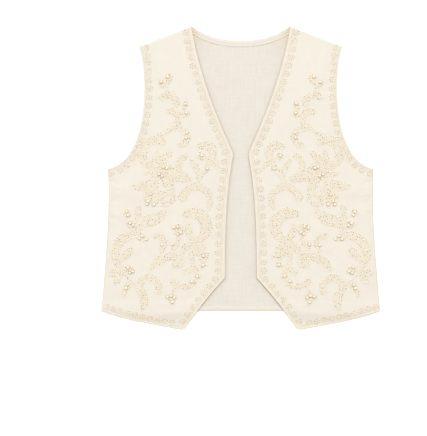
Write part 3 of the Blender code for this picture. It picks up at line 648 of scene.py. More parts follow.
def sweep_mesh(rings, ends=None):
    """A closed tube through rings of points, one ring for each station, with a fan at each end
    to a point there: the ring's middle unless ends gives them."""
    if ends is None:
        ends = rings[[0, -1]].mean(axis=1)
    stations, around = rings.shape[:2]
    index = np.arange(stations * around).reshape(stations, around)
    on = np.roll(index, -1, axis=1)
    quads = np.stack([index[:-1], index[1:], on[1:], on[:-1]], axis=2).reshape(-1, 4)
    caps = np.concatenate([
        np.stack([np.full(around, index.size), index[0], on[0]], axis=1),
        np.stack([np.full(around, index.size + 1), on[-1], index[-1]], axis=1)])
    return np.concatenate([rings.reshape(-1, 3), ends]), [quads, caps]


def joined(shape, faces, places, turns, heights, scales):
    """Many copies of one small shape as one mesh: each is scaled, turned about Z and moved."""
    cos, sin = np.cos(turns)[:, None], np.sin(turns)[:, None]
    x, y, z = (shape[None, :, i] * scales[:, None] for i in range(3))
    points = np.stack([x * cos - y * sin + places[:, :1], x * sin + y * cos + places[:, 1:2],
                       z + heights[:, None]], axis=2)
    shifts = (np.arange(len(places)) * len(shape))[:, None, None]
    return points.reshape(-1, 3), [(array[None] + shifts).reshape(-1, array.shape[1])
                                   for array in faces]


def mound(length, width, around, rings, middle, under):
    """A stitch as an oval mound of so many sides, its length along X.

    Each of the rings from the foot up says its half length and half width as shares, its height
    and its tone. Fans close it to a point in the middle and one under it, given by height and
    tone. Gives the points, the faces and a tone for each point.
    """
    circle = on_circle(full_turn(around))
    points = [np.column_stack([circle * (along * length, across * width), np.full(around, z)])
              for along, across, z, _ in rings]
    index = np.arange(len(rings) * around).reshape(-1, around)
    on = np.roll(index, -1, axis=1)
    quads = np.stack([index[:-1], on[:-1], on[1:], index[1:]], axis=2).reshape(-1, 4)
    fans = np.concatenate([
        np.stack([index[-1], on[-1], np.full(around, index.size)], axis=1),
        np.stack([on[0], index[0], np.full(around, index.size + 1)], axis=1)])
    tones = np.repeat([tone for *_, tone in (*rings, middle, under)],
                      [around] * len(rings) + [1, 1])
    return (np.concatenate(points + [[[0.0, 0.0, z] for z, _ in (middle, under)]]),
            [quads, fans], tones)


def looped_stitch(length, width, height):
    """One looped stitch: foot, crown and the rim of the pit where it goes through the cloth."""
    sunk = -0.25
    # the tones paint shade: a little darker at the foot than on the crown, darkest on the pit's
    # rim and in its middle
    return mound(length, width, 10,
                 ((0.5, 0.5, sunk, 0.85), (0.36, 0.36, height, 1.0),
                  (0.165, 0.165, 0.8 * height, 0.1)), (0.5 * height, 0.0), (sunk, 0.45))


def seed_stitch(length, width, height):
    """A short straight stitch: a low dome on an oval."""
    sunk = -0.2
    # the foot's lower tone is painted shade round the stitch
    return mound(length, width, 6, ((0.5, 0.5, sunk, 0.6), (0.38, 0.36, 0.72 * height, 0.95)),
                 (height, 1.0), (sunk, 0.6))


# ================================ materials ================================

def linear(colour):
    """A display colour of 255 as linear light."""
    parts = [c / 255.0 for c in colour]
    return (*[c / 12.92 if c <= 0.04045 else ((c + 0.055) / 1.055) ** 2.4 for c in parts], 1.0)


class Nodes:
    """A short way to add and join shader nodes."""

    def __init__(self, name):
        self.material = bpy.data.materials.new(name)
        self.material.use_nodes = True
        self.tree = self.material.node_tree
        self.shader = self.tree.nodes["Principled BSDF"]

    def fill(self, node, inputs):
        """Joins a socket, or sets a value, at each of a node's inputs."""
        for key, value in inputs.items():
            if isinstance(value, bpy.types.NodeSocket):
                self.tree.links.new(value, node.inputs[key])
            else:
                node.inputs[key].default_value = value
        return node

    def add(self, kind, inputs=None, **settings):
        """A new node with its inputs filled and its settings made."""
        node = self.tree.nodes.new(kind)
        for key, value in settings.items():
            setattr(node, key, value)
        return self.fill(node, inputs or {})

    def math(self, operation, a, b=0.0, c=0.0):
        """The result of one sum on numbers or sockets."""
        return self.add("ShaderNodeMath", {0: a, 1: b, 2: c}, operation=operation).outputs[0]

    def mix(self, blend, factor, a, b):
        """Colour b over colour a."""
        return self.add("ShaderNodeMix", {0: factor, 6: a, 7: b}, data_type="RGBA",
                        blend_type=blend).outputs[2]

    def place(self):
        """Where a point is on its own piece, in metres."""
        return self.add("ShaderNodeTexCoord").outputs["Object"]

    def tone(self):
        """The piece's own attribute "tone"."""
        return self.add("ShaderNodeAttribute", attribute_name="tone").outputs["Fac"]

    def noise(self, where, scale=1.0, detail=2.0):
        """Soft noise from 0 to 1."""
        return self.add("ShaderNodeTexNoise", {"Vector": where, "Scale": scale,
                                               "Detail": detail}).outputs["Fac"]

    def threads(self, where, scale, direction):
        """Even bands, one for each thread."""
        return self.add("ShaderNodeTexWave", {"Vector": where, "Scale": scale, "Distortion": 0.4,
                                              "Detail": 0.0},
                        bands_direction=direction).outputs["Fac"]

    def slubs(self, where, scale):
        """Noise drawn out along the threads."""
        return self.noise(self.add("ShaderNodeMapping", {"Vector": where, "Scale": scale})
                          .outputs[0])

    def bump(self, height, strength, millimetres):
        """A relief of so many millimetres where the height is 1."""
        return self.add("ShaderNodeBump", {"Height": height, "Strength": strength,
                                           "Distance": millimetres * MM}).outputs[0]

    def finish(self, **inputs):
        """Fills the shader's own sockets, named with _ for a space, and gives the material."""
        self.fill(self.shader, {key.replace("_", " "): value for key, value in inputs.items()})
        return self.material


# how finely the slubs' noise is drawn out along X and Y
WEFT_SLUBS = (38.0, 560.0, 1.0)
WARP_SLUBS = (520.0, 34.0, 1.0)


def chosen(name):
    """A colour setting as parts of 255."""
    return [round(part * 255) for part in getattr(bpy.context.scene.waistcoat_colours, name)]


def cloth_material(name, cloth):
    """A plain weave: two bands of crossing threads, with slubs along them and a slight mottle.
    The colour is multiplied by the cloth's tint where the attribute "tone" is 1: painted shade on
    the fronts, the back and the band, a patchy darkening on the strips."""
    n = Nodes(name)
    where = n.place()
    thread = bpy.context.scene.waistcoat_sizes.weave / MM * cloth.thread
    scale = math.tau / (20.0 * thread * MM)
    weave = n.math("MAXIMUM", n.threads(where, scale, "X"), n.threads(where, scale, "Y"))
    slubs = n.math("ADD", n.slubs(where, WEFT_SLUBS), n.slubs(where, WARP_SLUBS))
    mottle = n.noise(where, 34.0, 3.0)
    shade = n.math("MULTIPLY_ADD", n.math("SUBTRACT", slubs, 1.0), cloth.slub * 2.0,
                   n.math("MULTIPLY_ADD", mottle, cloth.slub * 0.5, 1.0 - cloth.slub * 0.25))
    grey = n.add("ShaderNodeCombineColor", {0: shade, 1: shade, 2: shade}).outputs[0]
    tint = n.mix("MULTIPLY", 1.0, linear(chosen(cloth.colour)), grey)
    relief = n.bump(n.math("MULTIPLY_ADD", slubs, 0.8, weave), cloth.relief, 0.12)
    return n.finish(Base_Color=n.mix("MULTIPLY", n.tone(), tint, cloth.stain), Normal=relief,
                    Roughness=cloth.roughness, Sheen_Weight=cloth.sheen,
                    Specular_IOR_Level=0.25)


THREAD_DARK_AT = 0.45  # the tone that has the thread's dark colour


def thread_material(name, pit, dark, light):
    """Embroidery thread with fine fibres. The attribute "tone" gives the pits' colour, painted
    shade, at 0, the thread's dark colour at THREAD_DARK_AT and its light colour at 1."""
    n = Nodes(name)
    fibre = n.noise(n.place(), 2600.0)
    shade_tone = n.math("MULTIPLY_ADD", fibre, 0.2, n.math("SUBTRACT", n.tone(), 0.1))
    low = n.add("ShaderNodeMapRange", {0: shade_tone, 1: 0.0, 2: THREAD_DARK_AT}).outputs[0]
    high = n.add("ShaderNodeMapRange", {0: shade_tone, 1: THREAD_DARK_AT, 2: 1.0}).outputs[0]
    colour = n.mix("MIX", high, n.mix("MIX", low, pit, dark), light)
    return n.finish(Base_Color=colour, Normal=n.bump(fibre, 0.4, 0.1), Roughness=0.55,
                    Sheen_Weight=0.2, Specular_IOR_Level=0.3)


def pearl_material(name, colour):
    """Pearl: a satin gloss and a little unevenness of tone."""
    n = Nodes(name)
    lighter = linear([min(255, c + 10) for c in colour])
    tint = n.mix("MIX", n.noise(n.place(), 420.0), linear(colour), lighter)
    return n.finish(Base_Color=tint, Roughness=0.5, Coat_Weight=0.08, Coat_Roughness=0.3,
                    Specular_IOR_Level=0.4)


# cloths: colour setting, tint where "tone" is 1, thread as a share of the weave's pitch, depth
#  of the weave and of its slubs, sheen and roughness
Cloth = namedtuple("Cloth", "colour stain thread relief slub sheen roughness")
CLOTHS = {
    # painted shade between the stitches and along the side seams' roll
    "front_weave": Cloth("front_cloth", (0.97, 0.94, 0.87, 1.0), 1.0, 0.45, 0.03, 0.15, 0.85),
    # painted shadow beside the fronts' free edges, painted shade at the top of the neck
    "back_weave": Cloth("back_cloth", (0.96, 0.89, 0.79, 1.0), 1.0, 0.55, 0.085, 0.15, 0.85),
    # painted shade in its grooves, at its edges and beside the fronts' edges at the neck
    "band_weave": Cloth("band_cloth", (0.82, 0.73, 0.61, 1.0), 1.0, 0.4, 0.03, 0.15, 0.85),
    # darker in patches towards the rosettes, on the edging strips
    "binding_satin": Cloth("binding_cloth", (0.90, 0.86, 0.79, 1.0), 0.7, 0.25, 0.02, 0.25, 0.6),
}
# threads: colour settings of the pits' painted shade, of the dark tone and of the light tone
THREADS = {"embroidery_thread": ("pit", "thread_dark", "thread_light"),
           "seat_and_shade_thread": ("pit", "seat", "thread_dark")}


def material(key):
    """A finish by its key, made once."""
    found = bpy.data.materials.get(key)
    if found:
        return found
    if key in CLOTHS:
        return cloth_material(key, CLOTHS[key])
    if key in THREADS:
        return thread_material(key, *(linear(chosen(name)) for name in THREADS[key]))
    return pearl_material(key, chosen("pearl"))


# ================================ settings ================================

def colour(name, description, *parts):
    """A colour setting from parts of 255."""
    return bpy.props.FloatVectorProperty(name=name, description=description, subtype="COLOR_GAMMA",
                                         size=3, min=0.0, max=1.0,
                                         default=[p / 255.0 for p in parts])


def size(name, description, millimetres):
    """A length setting from millimetres."""
    return bpy.props.FloatProperty(name=name, description=description, unit="LENGTH",
                                   default=millimetres * MM, min=0.0, precision=5)


class WaistcoatColours(bpy.types.PropertyGroup):
    """Colours of the cloths, threads and pearls."""
    front_cloth: colour("Front cloth", "Ground of the fronts", 207, 199, 185)
    back_cloth: colour("Back cloth", "Inner face of the back", 202, 194, 182)
    band_cloth: colour("Band cloth", "Neck band and turned hem", 206, 198, 184)
    binding_cloth: colour("Binding cloth", "Rolled edges and edging strips", 210, 201, 186)
    # painted shade in the stitches' pits, where the thread goes into the cloth
    pit: colour("Thread, pits", "Where the thread goes into the cloth", 141, 121, 101)
    thread_dark: colour("Thread, dark", "Dark tone of the thread", 204, 191, 169)
    thread_light: colour("Thread, light", "Light tone of the thread", 220, 209, 191)
    # the rings under the pearls: partly thread, partly painted shade below the pearls
    seat: colour("Pearl seats", "Thread rings under the pearls", 204, 172, 122)
    pearl: colour("Pearls", "Body colour of the pearls", 219, 210, 193)


class WaistcoatSizes(bpy.types.PropertyGroup):
    """Sizes of the weave, stitches and pearls."""
    weave: size("Weave pitch", "From one thread of the cloth to the next", 0.62)
    mesh_step: size("Cloth mesh step", "Grid spacing of the fronts", 1.9)
    row_pitch: size("Row pitch", "From one row of stitches to the next", 3.9)
    stitch_step: size("Stitch step", "From one stitch of a row to the next", 4.1)
    stitch_length: size("Stitch length", "Length of one looped stitch", 4.8)
    stitch_width: size("Stitch width", "Width of one looped stitch", 4.4)
    pearl: size("Pearl radius", "Radius of a pearl", 2.5)


class WaistcoatLight(bpy.types.PropertyGroup):
    """Strength and colour of the studio light."""
    key: bpy.props.FloatProperty(name="Key light", description="Power of the key light",
                                 default=1215.0, min=0.0, unit="POWER")
    key_colour: colour("Key colour", "A cool white", 220, 236, 255)
    fill: bpy.props.FloatProperty(name="Fill", description="Brightness of the surround",
                                  default=0.775, min=0.0)
    fill_colour: colour("Fill colour", "A warm white", 255, 242, 224)


SETTINGS = (("waistcoat_colours", WaistcoatColours), ("waistcoat_sizes", WaistcoatSizes),
            ("waistcoat_light", WaistcoatLight))


def both_fronts(seed=0):
    """Each front's side, whether it is mirrored, and random draws of its own."""
    for i, (side, mirror) in enumerate((("right", True), ("left", False))):
        yield side, mirror, np.random.default_rng(seed + i)


# ================================ pieces ================================

BINDING_TUCK = 1.5  # how far a panel's edge lies inside the rolled edge
NECK_SAMPLES = 90
HEM_CORNER = (98.0, -263.0)  # near where the grid of a front turns from its slant to its hem
FRONT_ACROSS = 170.0  # a front's width, for the count of its columns
BACK_ROWS = 180
BACK_COLUMNS = 187
BACK_NECK_TUCK = 1.0  # how far inside its line the back's neck lies, under the band
BACK_SIDE_RISE = 4.0  # the back's side leaves the hem's corner this far up
BACK_EDGE_FADE = 14.0  # creases fade this near the back's neck and hem
BACK_RIPPLE = (0.10, 40.0, 3)  # height, length and seed of its unevenness
SHADE_SLOPE = 1.8  # the fronts' painted shade between the stitches comes in over this width round the stitching
SIDE_SHADE = 0.95  # and the painted shade of the side seam's roll is so full there, fading over its reach
SIDE_SHADE_REACH = 2.4
BACK_SHADOW_REACH = 3.0  # of the painted shadow beside the fronts' free edges, on the back
BAND_SHADOW_REACH = 7.0  # and on the neck band
CORNER_SHADE = 1.1  # the painted shade at the top of the neck, on the back
CORNER_REACH = 34.0


def back_neck():
    """The back neck from its middle out to the shoulder, on the wearer's left."""
    return cubic((0.0, BACK_NECK_Y), BACK_NECK_HANDLES[:2], BACK_NECK_HANDLES[2:],
                 EDGES["neck"][0], NECK_SAMPLES)


def on_floor(points):
    """No height at all."""
    return np.zeros(len(points))


def level_line(reach, y, count):
    """A level line at y, from reach on one side of the middle to reach on the other."""
    return np.stack([np.linspace(-reach, reach, count), np.full(count, y)], axis=1)


def whole_neck():
    """The back neck from one shoulder to the other, so that its left is down the back."""
    half = back_neck()
    return np.concatenate([half[:0:-1] * (-1.0, 1.0), half])[::-1]


def front_plan(step):
    """The plan grid of a front, its bound edges tucked into their binding."""
    left = run_at(BOUND_RUN, BINDING_TUCK)
    corner = int(np.argmin(np.linalg.norm(left - HEM_CORNER, axis=1)))
    hem = left[corner:]
    left = left[corner::-1]
    armhole = moved_in(EDGES["armhole"], BINDING_TUCK)
    hem[-1] = EDGES["side"][0] + (0.0, BINDING_TUCK)
    side = EDGES["side"][EDGES["side"][:, 1] > hem[-1][1]]
    right = np.concatenate([hem[-1:], side[side[:, 1] < armhole[0][1]], armhole])
    left[-1] = EDGES["neck"][0] + (BINDING_TUCK, 0.0)
    top = np.concatenate([left[-1:], EDGES["shoulder"][::-1][2:-1], armhole[-1:]])
    rows, columns = round(lengths(right)[-1] / step), round(FRONT_ACROSS / step)
    return patch(resample(left, rows), resample(right, rows), resample(hem, columns),
                 resample(top, columns))


def painted_shadow(points, reach, corner=0.0):
    """How much painted shadow the cloth gets: 1 at the fronts' free edges, fading as exp(-d /
    reach), and corner as painted shade at the top of the neck, fading as exp(-(c /
    CORNER_REACH)^2)."""
    plan = np.column_stack([np.abs(points[:, 0]), points[:, 1]])
    near = nearest(plan, [EDGES[name][::4] for name in ("neck", "front", "slant")])
    top = np.linalg.norm(plan - EDGES["neck"][0], axis=1)
    return np.minimum(np.exp(-near / reach) + corner * np.exp(-(top / CORNER_REACH) ** 2), 1.0)


class WAISTCOAT_OT_back(bpy.types.Operator):
    """Adds the back: a plain woven panel, flat underneath"""
    bl_idname = "waistcoat.back"
    bl_label = "Back"

    def execute(self, context):
        armhole = moved_in(EDGES["armhole"], BINDING_TUCK)
        side = EDGES["side"][EDGES["side"][:, 1] > BACK_HEM_Y + BACK_SIDE_RISE]
        half = np.concatenate([[(EDGES["side"][0][0], BACK_HEM_Y)], side[:-1], armhole])
        neck = moved_in(back_neck()[::-1], BACK_NECK_TUCK)[::-1]
        shoulder = EDGES["shoulder"][::-1]
        over = np.concatenate([neck[:-1], shoulder[1:-1], armhole[-1:]])
        right = resample(half, BACK_ROWS)
        top = resample(over, BACK_COLUMNS // 2 + 1)
        top = np.concatenate([top[:0:-1] * (-1.0, 1.0), top])
        bottom = level_line(half[0][0], BACK_HEM_Y, BACK_COLUMNS)
        plan = patch(right * (-1.0, 1.0), right, bottom, top)

        def face(points):
            """The back's inner face, which is upmost."""
            edge = smooth((BACK_NECK_Y - np.abs(points[:, 1])) / BACK_EDGE_FADE)
            height, length, seed = BACK_RIPPLE
            fine = fold_height(points, BACK_CREASES, "both")
            return BACK_THICK + (fine + height * ripple(points, length, seed)) * edge

        points, faces = shell_mesh(plan, face, on_floor)
        # its tone paints shadow beside the fronts' free edges and shade at the top of the neck
        back = add_piece("back_cloth", points, faces, material("back_weave"),
                         replaces=("back",),
                         tone=painted_shadow(points, BACK_SHADOW_REACH, CORNER_SHADE))
        return {"FINISHED"}


class WAISTCOAT_OT_fronts(bpy.types.Operator):
    """Adds both fronts: lofted over the back, padded under the embroidery"""
    bl_idname = "waistcoat.fronts"
    bl_label = "Fronts"

    def execute(self, context):
        plan = front_plan(context.scene.waistcoat_sizes.mesh_step / MM)
        for side, mirror, _ in both_fronts():
            surface = Surface(side)
            points, faces = shell_mesh(plan, surface.top, surface.lift)
            flat = plan.reshape(-1, 2)
            # the tone paints shade between the stitches and along the rolled side seam
            shaded = smooth(0.5 + depth_in_work(flat) / SHADE_SLOPE)
            by_side = distance_to(flat, EDGES["side"][EVERY_FIFTH])
            shaded = np.maximum(shaded, SIDE_SHADE * np.exp(-by_side / SIDE_SHADE_REACH))
            front = add_piece("front_cloth_" + side, points, faces, material("front_weave"),
                              mirror, replaces=("front_" + side,),
                              tone=np.concatenate([shaded, np.zeros(len(shaded))]))
        return {"FINISHED"}


ROLL_SIDES = 14
ROLL_POWER = 0.75


def rolled_section(width, thick):
    """A rounded roll as shares of width and height: an oval whose sides are drawn out, cos and
    sin each raised to ROLL_POWER with its sign kept."""
    oval = on_circle(-full_turn(ROLL_SIDES))
    return (0.5 - 0.5 * np.sign(oval) * np.abs(oval) ** ROLL_POWER) * (width, thick)


def carried(section, line_at, under):
    """A tube whose section is carried along a line: each point of the section, so far across
    and so far up, follows line_at(across) at the height under(line) + up."""
    lines = [line_at(across) for across, *_ in section]
    rings = [np.column_stack([line, under(line) + up])
             for line, (_, up, *_) in zip(lines, section)]
    return lines, *sweep_mesh(np.stack(rings, axis=1))


def strip_section(width):
    """An edging strip's section: rounded over the cloth, its edges sunk in it."""
    return ((width, -0.3), (width - 0.15, 0.1), (width - 0.7, 0.22), (0.5 * width, 0.26),
            (2.2, 0.12), (2.0, -0.3))


STRIPS = (("edge", BOUND_RUN, 6.8), ("armhole", ARMHOLE_RUN, 4.2))
STRIP_FROM = 1.8  # the strips' darkening towards the rosettes starts this far in
# and it is patchy: its middle, its swing, the patches' length and their seed
PATCHY = (0.9, 0.55, 17.0, 9)


class WAISTCOAT_OT_bindings(bpy.types.Operator):
    """Adds the rolled edges of the fronts and armholes, and the edging strips beside them"""
    bl_idname = "waistcoat.bindings"
    bl_label = "Bindings"

    def execute(self, context):
        satin = material("binding_satin")
        for side, mirror, _ in both_fronts():
            surface = Surface(side)
            thick = FRONT_THICK + BINDING_RISE
            for name, node, run, under, height in (
                    ("edge_binding", "edge_binding", BOUND_RUN, surface.lift, thick),
                    ("armhole_binding", "armhole_binding", ARMHOLE_RUN, surface.lift, thick),
                    ("armhole_back", "armhole_binding_back", ARMHOLE_RUN, on_floor, BACK_THICK)):
                _, points, faces = carried(rolled_section(BINDING_WIDTH, height),
                                           partial(run_at, run), under)
                add_piece(f"rolled_{name}_{side}", points, faces, satin, mirror,
                          replaces=(f"{node}_{side}",))
            for name, run, width in STRIPS:
                section = strip_section(width)
                lines, points, faces = carried(section, partial(run_at, run), surface.cloth)
                level, swing, length, seed = PATCHY
                tones = [(level + swing * ripple(line, length, seed))
                         * smooth((across - STRIP_FROM) / (width - STRIP_FROM))
                         for line, (across, _) in zip(lines, section)]
                tone = np.concatenate([np.stack(tones, axis=1).ravel(), [0.5, 0.5]])
                add_piece(f"{name}_strip_{side}", points, faces, satin, mirror,
                          tone=tone)
        return {"FINISHED"}


BAND_STATIONS = 141
HEM_STATIONS = 241
HEM_REACH = 238.0  # from the middle of the hem to its ends
BAND_OVERHANG = 0.3  # the neck band's outer edge stands this far past the back's
BAND_TUCK = 1.2  # and its ends run this far under the fronts
# sections in shares of the band's width and rise, from its outer edge inwards, with the tone,
# which paints shade in the grooves and at the edges
BAND_SECTION = (
    (0.0, -0.3, 0.1), (0.0, 0.45, 0.1), (0.05, 0.9, 0.0), (0.13, 0.95, 0.0), (0.17, 0.75, 0.1),
    (0.22, 0.95, 0.0), (0.4, 1.05, 0.0), (0.55, 0.95, 0.05), (0.66, 0.6, 0.1), (0.76, 0.5, 0.12),
    (0.84, 0.5, 0.0), (0.96, 0.5, 0.0), (1.05, 0.4, 0.0), (1.11, 0.1, 0.0), (1.15, -0.3, 0.1))
HEM_SECTION = (
    (0.0, -0.6, 0.1), (0.0, 0.2, 0.1), (0.06, 0.9, 0.0), (0.5, 1.05, 0.0), (0.74, 0.92, 0.05),
    (0.78, 0.8, 0.1), (0.82, 0.95, 0.05), (0.94, 1.0, 0.0), (1.0, 0.5, 0.15), (1.0, -0.6, 0.15))


def band(section, line_at, width, floor, rise):
    """A band's points, faces and tones, from a section in shares of its width and rise."""
    sized = [(across * width, up * rise) for across, up, _ in reversed(section)]
    lines, points, faces = carried(sized, line_at, lambda line: np.full(len(line), floor))
    tones = np.tile([tone for *_, tone in reversed(section)], len(lines[0]))
    return points, faces, np.concatenate([tones, [0.0, 0.0]])


class WAISTCOAT_OT_bands(bpy.types.Operator):
    """Adds the neck band inside the back neck and the back's turned hem"""
    bl_idname = "waistcoat.bands"
    bl_label = "Neck band and hem"

    def execute(self, context):
        neck, front_edge = whole_neck(), EDGES["neck"][::-1]
        edge = level_line(HEM_REACH, BACK_HEM_Y, HEM_STATIONS)

        def beside_neck(across):
            """The neck moved in, as far as it shows between the fronts."""
            line = moved_in(neck, across - BAND_OVERHANG)
            limit = np.interp(line[:, 1], front_edge[:, 1], front_edge[:, 0]) + BAND_TUCK
            return resample(line[np.abs(line[:, 0]) < limit], BAND_STATIONS)

        points, faces, shade_tone = band(BAND_SECTION, beside_neck, NECK_BAND_WIDTH,
                                   BACK_THICK + SEAM_GAP, NECK_BAND_THICK)
        # plus painted shade beside the fronts' edges, darkest in the neck's corners
        shade_tone = np.minimum(shade_tone + painted_shadow(points, BAND_SHADOW_REACH), 1.0)
        add_piece("neck_band", points, faces, material("band_weave"),
                  replaces=("back_neck_band",), tone=shade_tone)
        points, faces, shade_tone = band(HEM_SECTION, lambda across: edge + (0.0, across), HEM_WIDTH,
                                   BACK_THICK, HEM_FOLD)
        add_piece("turned_hem", points, faces, material("band_weave"), tone=shade_tone)
        return {"FINISHED"}


# of the scrolls' stitches, in row pitches: how far in the first row lies, how deep the grid
# starts, and how near two stitches may be
FIRST_ROW = 0.45
FILL_DEPTH = 0.4
CLOSEST = 0.9
PAD_GROWTH = 1.6  # the rings of a pad start this far outside it
LEAST_RING = 0.6  # and none is smaller
PAD_SIDES = 24
OVERLAP = 0.5  # a row stops this deep in an earlier stroke
WORK_FROM, WORK_TO = (40, -240), (235, 190)  # the grid's corners
EDGE_CLEAR = 4.0  # no stitch of a scroll is nearer to a free edge
STITCH_RISE = 0.28  # of a scroll's stitch
STITCH_SCALES = (0.88, 1.1)  # from the least to the largest of the stitches that stray


def stitched_rows(sizes):
    """Where every stitch of a front's scrolls goes: places, headings.

    Rows are rings in each stroke and pad, a row pitch apart, then the stroke's own arc. A grid
    with every second row set over fills what is left. A stitch that lies too near an earlier one,
    or in an earlier stroke, is left out.
    """
    pitch, step = sizes.row_pitch / MM, sizes.stitch_step / MM
    lines = []
    for i, stroke in enumerate(STROKES.values()):
        insets = np.arange(FIRST_ROW * pitch, max(stroke[6:]), pitch)
        lines += [(i, ring(stroke, inset)) for inset in insets]
        lines.append((i, spine(stroke)[0]))
    circle = on_circle(np.linspace(0.0, math.tau, PAD_SIDES + 1))
    for pad in PADS:
        largest = pad.radius + PAD_GROWTH - FIRST_ROW * pitch
        lines += [(0, (pad.x, pad.y) + radius * circle)
                  for radius in np.arange(largest, LEAST_RING, -pitch)]
    places, turns = [], []
    for i, line in lines:
        if line is not None:
            even = resample(line, max(2, round(lengths(line)[-1] / step)) + 1)
            middle, way = (even[1:] + even[:-1]) / 2.0, np.diff(even, axis=0)
            shown = depth_in_strokes(middle, i) < OVERLAP
            places.append(middle[shown])
            turns.append(np.arctan2(way[:, 1], way[:, 0])[shown])
    row, column = np.mgrid[WORK_FROM[1]:WORK_TO[1]:pitch, WORK_FROM[0]:WORK_TO[0]:step]
    grid = np.stack([column + (row / pitch % 2.0 < 1.0) * step / 2.0, row], axis=2).reshape(-1, 2)
    grid = grid[depth_in_strokes(grid) > FILL_DEPTH * pitch]
    places = np.concatenate(places + [grid])
    turns = np.concatenate(turns + [np.zeros(len(grid))])
    kept = []
    for i, place in enumerate(places):
        if not kept or np.hypot(*(places[kept] - place).T).min() > CLOSEST * pitch:
            kept.append(i)
    return places[kept], turns[kept]


def sewn(name, kind, places, turns, heights, rng, spread, depth, shade=1.0, mirror=False):
    """One mesh of many stitches of a kind, whose scale and depth of tone vary in two ranges."""
    shape, faces, tones = kind
    points, faces = joined(shape, faces, places, turns, heights,
                           rng.uniform(*spread, len(places)))
    tones = shade - (rng.uniform(*depth, len(places))[:, None] * (1.0 - tones)).ravel()
    add_piece(name, points, faces, material("embroidery_thread"), mirror, tone=tones)


def stitches(name, side, mirror, places, turns, kind, rng, depth=(0.65, 1.1), wobble=0.25,
             stray=0.3, sink=0.0, shade=1.0):
    """Stitches on a front's surface, each strayed and turned a little from its place."""
    places = places + rng.normal(0.0, stray, places.shape)
    heights = Surface(side).top(places) - sink
    sewn(name + side, kind, places, turns + rng.normal(0.0, wobble, len(turns)), heights, rng,
         STITCH_SCALES, depth, shade, mirror)


class WAISTCOAT_OT_embroidery(bpy.types.Operator):
    """Adds the looped stitches of the scrolls and leaves, in rows that follow each shape"""
    bl_idname = "waistcoat.embroidery"
    bl_label = "Embroidery"

    def execute(self, context):
        sizes = context.scene.waistcoat_sizes
        places, turns = stitched_rows(sizes)
        free = [EDGES[name][EVERY_FIFTH] for name in BOUND_RUN + ARMHOLE_RUN + ("side",)]
        kept = nearest(places, free) > EDGE_CLEAR
        kind = looped_stitch(sizes.stitch_length / MM, sizes.stitch_width / MM, STITCH_RISE)
        for side, mirror, rng in both_fronts(11):
            stitches("embroidery_", side, mirror, places[kept], turns[kept], kind, rng,
                     stray=0.75, wobble=0.6)
        return {"FINISHED"}


RING_STITCHES = 7
RING_RADIUS = 4.4  # of the stitches round a rosette's middle one
ROSETTE_STITCH = (3.8, 3.5, 0.3)  # length, width, height


class WAISTCOAT_OT_rosettes(bpy.types.Operator):
    """Adds the rosettes along the edges: looped stitches in a ring round one in the middle"""
    bl_idname = "waistcoat.rosettes"
    bl_label = "Rosettes"

    def execute(self, context):
        kind = looped_stitch(*ROSETTE_STITCH)
        for side, mirror, rng in both_fronts(21):
            starts = rng.uniform(0.0, math.tau, len(ROSETTES))[:, None]
            angles = starts + full_turn(RING_STITCHES)
            around = ROSETTES[:, None] + RING_RADIUS * on_circle(angles)
            places = np.concatenate([around, ROSETTES[:, None]], axis=1)
            turns = np.concatenate([angles + math.pi / 2, starts], axis=1)
            stitches("rosettes_", side, mirror, places.reshape(-1, 2), turns.ravel(), kind, rng,
                     depth=(0.75, 1.25), stray=0.2)
        return {"FINISHED"}


# small stitches: length, width, height
SEED_STITCH = (2.3, 1.5, 0.5)
FINE_STITCH = (1.9, 0.7, 0.3)
LONG_STITCH = (4.9, 1.8, 0.3)
# rows of small stitches between an edging strip and its rosettes: edge, how far in
SEED_ROWS = (("neck", 7.9), ("front", 7.9), ("slant", 6.8), ("hem", 6.2), ("armhole", 6.0))
SEED_STEP = 3.1
EDGE_ROW_INSET = 3.3  # the fine row on the edging strip
EDGE_ROW_STEP = 2.9
EDGE_ROW_RISE = 0.22  # over the cloth, to lie on the strip
BAND_ROW = 0.91  # the neck band's row, as a share of its width
BAND_ROW_REACH = 82.0  # from the middle to its ends
BAND_ROW_STEP = 5.6
HEM_ROWS = (("hem_stitching", 0.82), ("hem_lower_stitching", 0.42))
HEM_ROW_REACH = 236.0
HEM_ROW_STEP = 3.3
ROW_SCALES = (0.95, 1.08)


def evenly(line, step):
    """Points of a line about a step apart."""
    return resample(line, round(lengths(line)[-1] / step))


